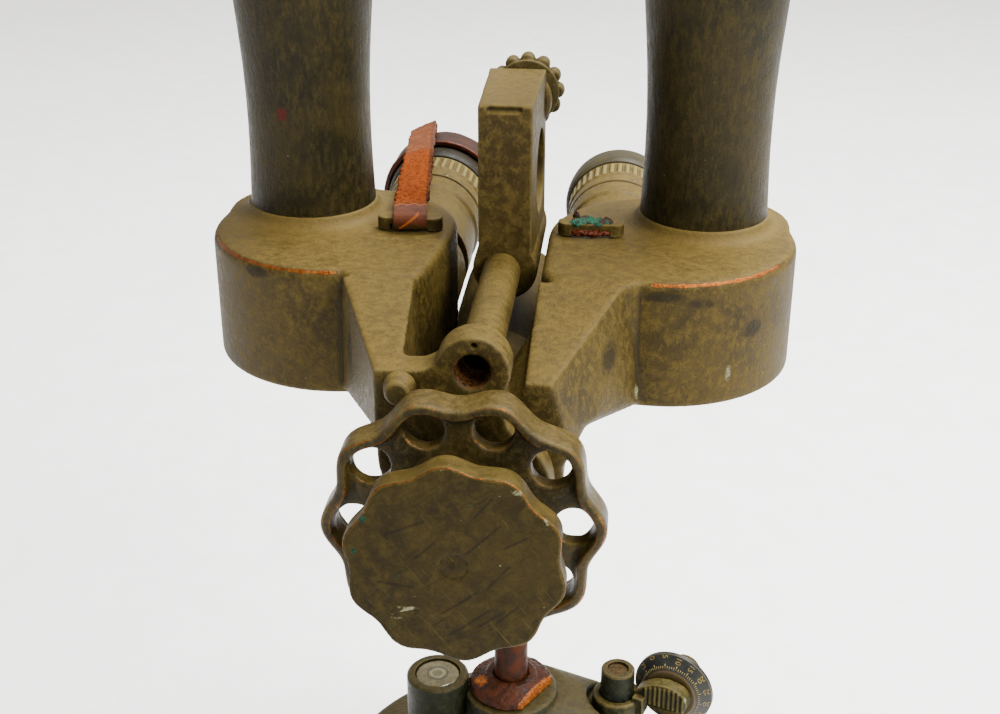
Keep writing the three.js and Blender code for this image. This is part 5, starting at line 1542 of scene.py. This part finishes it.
def add_casting():
    """Turning casting: skirt over the ring gear, turret, saddle and bearing, with their sockets."""
    skirt = turned(rounded([
        (0, 22), (66, 22), (66, 33), (64, 36), (40, 39), (24, 44), (0, 44),
    ], 1.2), segments=160)
    turret = turned(rounded([
        (0, 36), (24, 36), (19.5, 52), (18.4, 66), (17.6, 68), (17.2, 76.9), (0, 77),
    ], 1.0))
    saddle = convex(disc_points(2, 4, 17, 74) + disc_points(PIVOT_X, PIVOT_Y, 10, 66)
                    + disc_points(2, 4, 18, 38) + disc_points(PIVOT_X, PIVOT_Y, 10.5, 38))
    level_web = convex(disc_points(0, 0, 10, 66) + disc_points(LEVEL_X, LEVEL_Y, 8, 58)
                       + disc_points(0, 0, 12, 38) + disc_points(LEVEL_X, LEVEL_Y, 12.5, 38)
                       + disc_points(LEVEL_X, LEVEL_Y, 12.5, 50))
    bearing = [
        rod(BEARING, 34.2, DIAL_END, "Y", (DIAL_X, 0, DIAL_Z), edge=0.8),
        round_box(DIAL_X - BEARING, DIAL_X + BEARING, 34.2, DIAL_END, 30, DIAL_Z),
        rod(12, 22, 36, at=(DIAL_X, PINION_Y, 0), edge=0.8),
    ]
    cuts = [
        turned([(0, 15), (61.5, 15), (61.5, 30), (0, 30)]),
        rod(SPINDLE_R + GAP, 56, 90),
        rod(LEVEL_RADIUS + GAP, 52, 90, at=(LEVEL_X, LEVEL_Y, 0)),
        rod(4.6, 54, 90, at=(PIVOT_X, PIVOT_Y, 0)),
        rod(11.4, 66, 90, at=(PIVOT_X, PIVOT_Y, 0)),
        rod(3.3, 30, 60, "Y", (DIAL_X, 0, DIAL_Z)),
        rod(3.3, 10, DIAL_Z - 1, at=(DIAL_X, PINION_Y, 0)),
        round_box(DIAL_X - 5, DIAL_X + 5, 36.2, 42.4, DIAL_Z - 8.5, DIAL_Z + 5),
        rod(8, 15, 31, at=(DIAL_X, PINION_Y, 0)),
    ]
    piece = shaped("mount_head_casting", [skirt, turret, saddle, level_web, *bearing], cuts, MOUNT,
                   voxel=0.75, smooth=9)
    place(piece, "azimuth_head", MOUNT_PAINT, "mount_paint", "mount_casting")


def add_spindle_and_collar():
    top = 1000 * HEAD_ORIGIN.z - 28.4
    shaft = build("spindle_shaft", [
        turned(spaced(rounded([(0, 56.4), (SPINDLE_R, 56.4), (SPINDLE_R, top), (0, top)], 0.5)), segments=96),
    ], MOUNT)
    place(shaft, "azimuth_head", RUST, "rusted_steel", "spindle")
    nut = turned(rounded([
        (SPINDLE_R + 0.4, 77.3), (15.0, 77.3), (15.2, 77.8), (15.2, 80.2), (9.7, 82.4), (9.1, 83.4),
        (SPINDLE_R + 0.4, 83.4),
    ], 0.35, 2), segments=128, closed=True)
    turn = Matrix.Rotation(math.radians(-10), 4, "Z")
    flat = moved(round_box(COLLAR_FLAT, 20, -20, 20, 70, 90), matrix=turn)
    collar = shaped("rusted_clamp_collar", [nut], [flat], MOUNT, voxel=0.32, smooth=3)
    roughen(collar, 0.22, 2.2)
    points = local_points(collar, MOUNT)
    turn = math.radians(-10)
    out = points[:, 0] * math.cos(turn) + points[:, 1] * math.sin(turn)
    glow = np.clip((out - COLLAR_FLAT + 0.9) / 0.5, 0, 1) * 0.8 + spot(points, (-9, -8, 82), (5, 4, 2)) * 0.5
    store(collar, "rub", np.clip(glow, 0, 1))
    place(collar, "collar", RUST, "rusted_steel", "clamp_collar")


def add_level():
    housing = turned(spaced(rounded([
        (0, 52.4), (LEVEL_RADIUS, 52.4), (LEVEL_RADIUS, LEVEL_TOP - 0.9), (LEVEL_RADIUS - 0.9, LEVEL_TOP),
        (8.4, LEVEL_TOP), (8.4, LEVEL_TOP - 4), (0, LEVEL_TOP - 4),
    ], 0.35)), at=(LEVEL_X, LEVEL_Y, 0), segments=112)
    cup = build("round_level_cup", [housing], MOUNT)
    place(cup, "azimuth_head", MOUNT_PAINT, "mount_paint", "level_housing")
    pane = spaced([
        (0, LEVEL_TOP - 3.7), (8.1, LEVEL_TOP - 3.7), (8.1, LEVEL_TOP - 0.9),
        (7.4, LEVEL_TOP - 0.62), (3.0, LEVEL_TOP - 0.42), (0, LEVEL_TOP - 0.4),
    ], 0.4)
    glass = build("round_level_window", [turned(pane, at=(LEVEL_X, LEVEL_Y, 0), segments=96)], MOUNT)
    points = local_points(glass, MOUNT)
    store(glass, "radius", np.hypot(points[:, 0] - LEVEL_X, points[:, 1] - LEVEL_Y))
    place(glass, "azimuth_head", LEVEL_GLASS, "level_liquid", "level_glass")


def add_pivot_and_lever():
    at = (PIVOT_X, PIVOT_Y, 0)
    screw = build("pivot_screw_head", [turned(spaced(rounded([
        (0, 54.4), (4.3, 54.4), (4.3, 66.2), (PIVOT_RADIUS, 66.2), (PIVOT_RADIUS, PIVOT_TOP - 0.6),
        (PIVOT_RADIUS - 0.6, PIVOT_TOP), (4, PIVOT_TOP), (3.8, PIVOT_TOP - 1.2), (0, PIVOT_TOP - 1.2),
    ], 0.25)), at=at)], MOUNT)
    points = local_points(screw, MOUNT)
    from_axis = np.hypot(points[:, 0] - PIVOT_X, points[:, 1] - PIVOT_Y)
    store(screw, "rust", np.clip((4.3 - from_axis) / 0.6, 0, 1) * (points[:, 2] > 75) * 0.45)
    place(screw, "azimuth_head", MOUNT_PAINT, "mount_paint", "pivot_screw")
    front, back = 19.8, 25
    leaf = rounded([(41.6, 70.6), (50, 69.6), (57.5, 70.2), (61.6, 72), (62, 76), (59.6, 79.6), (54, 81),
                    (48, 80), (41.6, 75.6)], 3.0, closed=True)
    eye = rounded([
        (PIVOT_RADIUS + GAP, 66.4), (9.2, 66.4), (9.2, 71.2), (8.6, 72), (PIVOT_RADIUS + GAP, 72),
    ], 0.4)
    shells = [
        turned(eye, at=at, closed=True),
        pulled(leaf, front, back, "Y"),
        round_box(41.6, 46, 17, back - 2, 66.4, 74),
    ]
    for number in range(9):
        x = 46 + 1.8 * number
        shells.append(rod(0.7, 71.3, 80 - 0.03 * (x - 54) ** 2, at=(x, front, 0), edge=0.3, segments=24))
    lever = shaped("ribbed_thumb_lever", shells, [], MOUNT, voxel=0.3, smooth=3)
    points = local_points(lever, MOUNT)
    store(lever, "scuff", spot(points, (61.2, front + 0.6, 78), (1.6, 1.8, 5)) * 0.6)
    place(lever, "lever", LEVER_PAINT, "mount_paint", "thumb_lever")


def add_dial():
    at = (DIAL_X, 0, DIAL_Z)
    body = build("azimuth_dial_drum", [turned(spaced(rounded([
        (0, 25.6), (9.6, 25.6), (10.4, 26.2), (DIAL_RADIUS, DIAL_Y), (DIAL_RADIUS, DIAL_Y + 1.6),
        (12.6, 33.6), (3, 33.6), (3, 37), (4.6, 38), (3, 41.6), (3, DIAL_END), (0, DIAL_END),
    ], 0.2, 2), 1.2), "Y", at, 160, wave=knurl(DIAL_RADIUS, DIAL_Y + 0.3, DIAL_Y + 1.5, 80, 0.3))], MOUNT)
    x, y, z = local_points(body, MOUNT).T
    store(body, "radius", np.where(y < 27, np.hypot(x - DIAL_X, z - DIAL_Z), 20))
    place(body, "dial", DIAL_FACE, "dial_black", "azimuth_dial")
    shells = [dial_tick(number) for number in range(80)]
    figures = build("azimuth_dial_figures", shells, MOUNT)
    add_numerals(figures)
    place(figures, "dial", FIGURES, "brass")


def cone_point(angle, share, lift):
    """Point on the dial's slanted band: share 0 at its inner edge, 1 at its outer edge."""
    radius = 10.4 + (DIAL_RADIUS - 10.4) * share
    y = 26.2 + (DIAL_Y - 26.2) * share
    slope = Vector((DIAL_Y - 26.2, -(DIAL_RADIUS - 10.4))).normalized()
    radius -= slope.x * -lift
    y += slope.y * lift
    return Vector((DIAL_X + radius * math.cos(angle), y, DIAL_Z + radius * math.sin(angle)))


def dial_angle(number):
    """Where a number stands on the dial: they run clockwise, and 10 is just right of the top."""
    return math.radians(90 - 4.5 * (number - 8.25))


def dial_tick(number):
    angle = dial_angle(number)
    end = 0.36 if number % 5 == 0 else 0.22
    half = 0.012
    points = []
    for side in (-half, half):
        for share in (0.04, end):
            points.append(cone_point(angle + side, share, 0.05))
            points.append(cone_point(angle + side, share, -0.15))
    return convex(points)


def add_numerals(figures):
    """Numbers 0 to 75 round the dial's slanted band, each read from its outer edge inwards."""
    local = bmesh.new()
    local.from_mesh(figures.data)
    for number in range(16):
        curve = bpy.data.curves.new("figure", "FONT")
        curve.body = str(5 * number)
        curve.size = 2.9
        curve.extrude = 0.1
        text = bpy.data.objects.new("figure", curve)
        bpy.context.scene.collection.objects.link(text)
        graph = bpy.context.evaluated_depsgraph_get()
        graph.update()
        mesh = bpy.data.meshes.new_from_object(text.evaluated_get(graph))
        for vertex in mesh.vertices:
            share = 0.95 - vertex.co.x / 5.8
            turn = dial_angle(5 * number) - (vertex.co.y - 1.0) / 13.4
            vertex.co = MOUNT @ cone_point(turn, share, 0.06 if vertex.co.z > 0 else -0.12)
        local.from_mesh(mesh)
        bpy.data.objects.remove(text)
        bpy.data.meshes.remove(mesh)
        bpy.data.curves.remove(curve)
    local.to_mesh(figures.data)
    local.free()


# ---- the whole object ---------------------------------------------------------------------------

add_camera()
add_studio()
for side, label in ((-1, "left"), (1, "right")):
    add_housing(side, label)
    add_tube(side, label)
    add_head(side, label)
    add_eyepiece(side, label)
    add_bottom_cover(side, label)
    for lens in ("lower_prism", "turning_prism", "objective_lens", "head_prism", "field_lens", "eye_lens"):
        frame["nodes"][f"{label}_{lens}"].data.materials.clear()
        frame["nodes"][f"{label}_{lens}"].data.materials.append(GLASS)
add_lug_bar("left", LEFT_LUG_AT)
add_lug_bar("right", RIGHT_LUG_AT)
add_hinge_body()
add_clamp_wheel()
add_front_knob()
add_stop_pin()
add_bracket_rod()
add_bracket()
add_bracket_knob()
add_strap()
add_cap()
add_remnant()
add_base()
add_casting()
add_spindle_and_collar()
add_level()
add_pivot_and_lever()
add_dial()
for node, material in (("hinge_bolt", STEEL), ("pinion_arbor", STEEL), ("azimuth_ring_gear", BRASS)):
    frame["nodes"][node].data.materials.clear()
    frame["nodes"][node].data.materials.append(material)
